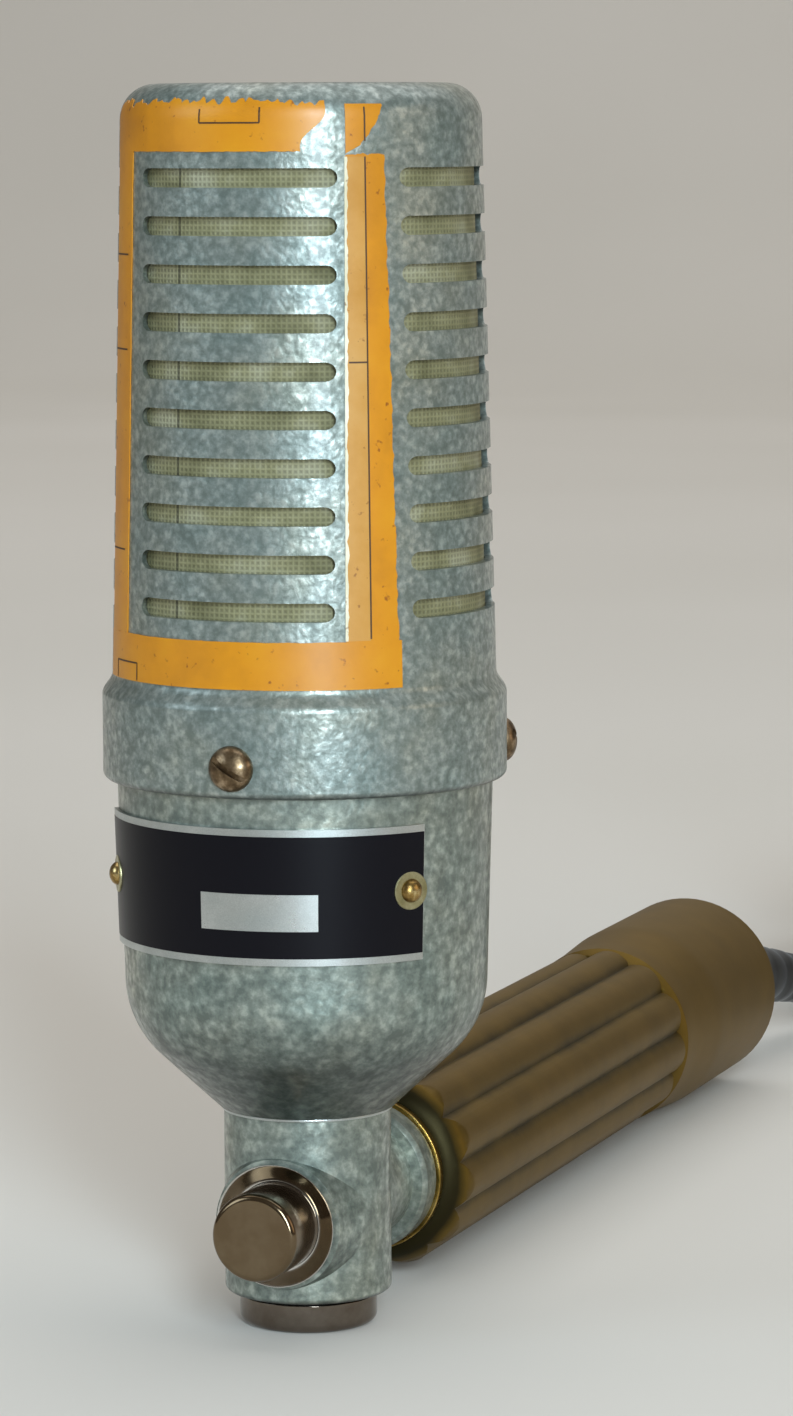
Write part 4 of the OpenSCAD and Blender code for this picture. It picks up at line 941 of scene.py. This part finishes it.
def leftEdges(s, t):
    z = between(*tapeSet["left"], t)
    return -58.4 + (14.4 + ragged(z * 0.5, 0.18, 9)) * s, z


# a thin printed ruling from one point of the tape to another
def inkLine(a0, z0, a1, z1, name):
    wide = tapeSet["inkWide"]
    upright = abs(z1 - z0) > abs(a1 - a0) * 0.4
    span = math.degrees(wide / 2 / capRadius(z0))

    def edges(s, t):
        if upright:
            return between(a0, a1, t) + span * (2 * s - 1), between(z0, z1, t)
        return between(a0, a1, s), between(z0, z1, s) + wide * (t - 0.5)

    columns, rows = (2, 24) if upright else (14, 1)
    line = wallPatch(name, edges, capRadius, tapeInk, tapeSet["inkLift"], tapeSet["inkThick"], columns, rows)
    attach(line, "microphone")


def makeTape():
    top = tapePiece("tapeTop", topEdges, tapeYellow, 110, 14)
    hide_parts("tape_strips")
    tapePiece("tapeFoot", footEdges, tapeYellow, 110, 8)
    tapePiece("tapeRight", rightEdges, tapeYellow, 16, 120)
    tapePiece("tapeRightRubbed", rubbedEdges, tapePale, 8, 90, 0.165, 0.02)
    tapePiece("tapeRightTorn", tornEdges, tornEdgeHighlightPaint, 2, 140, 0.16, 0.035)
    tapePiece("tapeRightTop", rightTopEdges, tapeYellow, 16, 20)
    tapePiece("tapeLeft", leftEdges, tapeYellow, 12, 90)
    lineSet = [
        (40.4, 96.3, 40.4, 158.8), (34.6, 132.3, 40.4, 132.3), (40.4, 160.8, 40.4, 165.2),
        (-51.5, 92.2, -37.5, 92.2), (-51.5, 92.2, -51.5, 89.9), (-37.5, 92.2, -37.5, 89.9),
        (-12.0, 163.2, 8.0, 163.2), (-12.0, 163.2, -12.0, 165.0), (8.0, 163.2, 8.0, 165.2),
        (-58.0, 146.0, -46.5, 146.0), (-58.0, 133.5, -46.5, 133.5), (-58.0, 107.0, -46.5, 107.0),
    ]
    for i, (a0, z0, a1, z1) in enumerate(lineSet):
        inkLine(a0, z0, a1, z1, "tapeRuling%02d" % i)


makeTape()
print("tape laid")

# castings, handle, button and caps
softened("lower_body", castEnamel, 0.25)
softened("neck_housing", castEnamel, 0.3)
softened("neck_ring", bareAlloy, 0.08)
softened("bottom_cap", chromePaintedReflection, 0.15)
softened("cap_gasket", rubber, 0.05)
# a dished ring whose outer edge is undercut, with the button's guide behind it
bezelOutline = [(1.85, -3.2), (7.2, -3.2), (7.2, -11.7), (7.7, -11.7), (8.36, -12.66), (8.4, -12.73),
                (8.37, -12.79), (8.28, -12.8), (8.1, -12.72), (7.6, -12.48), (7.1, -12.26), (6.6, -12.06),
                (6.2, -11.93), (6.05, -11.97), (6.05, -4.2), (1.85, -4.2)]
bezel = turned("buttonBezel", bezelOutline, chromePlate, sides=96, centre=(0, 0, axisZ), axis="Y")
finishEdges(bezel, 0)
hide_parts("button_bezel")
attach(bezel, "microphone")
softened("push_button", nickelPaintedReflection, 0.12, body="button")
softened("collar_ring", collarBrass, 0.2)

# return spring behind the button: round wire
springSet = {
    "radius": 3.2, "wire": 0.35, "front": -17.1, "back": -4.6, "turns": 6, "steps": 24,
    "seat": -4.2, "travel": 2.0,
}


def makeSpring():
    s = springSet
    count = s["turns"] * s["steps"]
    path = []
    for k in range(count + 1):
        a = 2 * math.pi * k / s["steps"]
        y = s["front"] + (s["back"] - s["front"]) * k / count
        path.append((s["radius"] * math.cos(a), y, axisZ + s["radius"] * math.sin(a)))
    spring = sweep("returnSpring", path, [s["wire"]] * len(path), zinc, 10, (0, 1, 0))
    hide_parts("button_spring")
    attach(spring, "microphone")
    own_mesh(spring)


makeSpring()
softened("handle_grip", handleBrass, 0.3)
softened("end_plug", handleBrass, 0.2)

insideFinish = {
    "gauze_ring": zinc, "deck_plate": zinc, "deck_screws": zinc, "lower_cushion": rubber,
    "magnet_pot": softIron, "magnet": magnetAlloy, "pole_tip": softIron, "top_plate": softIron,
    "voice_coil": copperWire, "diaphragm": foil, "diaphragm_ring": zinc, "front_grid": plainBrass,
    "upper_cushion": rubber, "clamp_ring": zinc, "tie_rods": zinc, "rod_nuts": plainBrass,
    "transformer_core": steelLamination, "transformer_winding": copperWire, "transformer_clamp": zinc,
    "transformer_screws": zinc, "terminal_strip": phenolic, "terminal_tags": plainBrass,
    "capsule_leads": redLead, "switch_leads": greenLead, "neck_nut": plainBrass, "button_clip": zinc,
    "switch_block": phenolic, "switch_screws": plainBrass, "moving_contact": plainBrass,
    "fixed_contact": plainBrass, "handle_stud": plainBrass, "stud_nut": plainBrass,
    "plug_screws": screwBrass, "cable_clamp": zinc, "inner_cable": rubber,
}
for nodeName, finish in insideFinish.items():
    dress(nodes[nodeName], finish)
print("castings and inner pieces finished")

# floor, backdrop and lamps, in metres
stageSet = {"front": -2.5, "back": 2.2, "curve": 0.9, "top": 4.0, "side": 5}


def makeStage():
    s = stageSet
    profile = [(s["front"], 0), (s["back"], 0)]
    profile += arc(s["back"], s["curve"], s["curve"], s["curve"], range(-80, 1, 10))
    profile += [(s["back"] + s["curve"], s["top"])]
    verts = [(x / mm, y / mm, z / mm) for y, z in profile for x in (-s["side"], s["side"])]
    faces = [(2 * i, 2 * i + 1, 2 * i + 3, 2 * i + 2) for i in range(len(profile) - 1)]
    material, tree, shader, place = newMaterial("matteBackdrop", Roughness=0.9)
    cloud = noiseOf(tree, place, 2.0, 2.0)
    tree.links.new(ramp(tree, cloud, [(0.3, "#dcd8d0"), (0.7, "#e3dfd8")]), shader.inputs["Base Color"])
    floor = meshPiece("studioFloor", verts, faces, material)


# a narrow spread lights the part more than the floor under it
def areaLamp(name, place, target, power, wide, tall, colour, spread):
    data = bpy.data.lights.new(name, "AREA")
    data.spread = math.radians(spread)
    data.shape = "RECTANGLE"
    data.energy = power
    data.size = wide
    data.size_y = tall
    data.color = tone(colour)[:3]
    lamp = bpy.data.objects.new(name, data)
    scene.collection.objects.link(lamp)
    lamp.location = place
    lamp.rotation_euler = (Vector(target) - Vector(place)).to_track_quat("-Z", "Y").to_euler()


makeStage()
areaLamp("keyLamp", (0.72, -1.2, 0.5), (0, 0, 0.09), 3.8, 0.3, 0.9, "#dff2ff", 70)
areaLamp("fillLamp", (-1.1, -0.9, 0.7), (0, 0, 0.09), 0.9, 0.8, 0.8, "#e2f3ff", 70)
areaLamp("sideLamp", (1.3, 0.1, 0.5), (0, 0.05, 0.08), 0.34, 0.8, 0.8, "#ffe3c2", 70)
areaLamp("ceilingLamp", (0, 1.2, 2.6), (0, 1.2, 0), 48, 3.6, 3.6, "#ffffff", 180)
world = bpy.data.worlds.new("softRoom")
scene.world = world
world.use_nodes = True
worldTree = world.node_tree
worldTree.nodes.clear()
sky = addNode(worldTree, "ShaderNodeBackground", {"Color": tone("#eae4d9"), "Strength": 0.19})
addNode(worldTree, "ShaderNodeOutputWorld", {"Surface": sky.outputs[0]})
scene.view_settings.view_transform = "Standard"

print("stage and lamps placed")
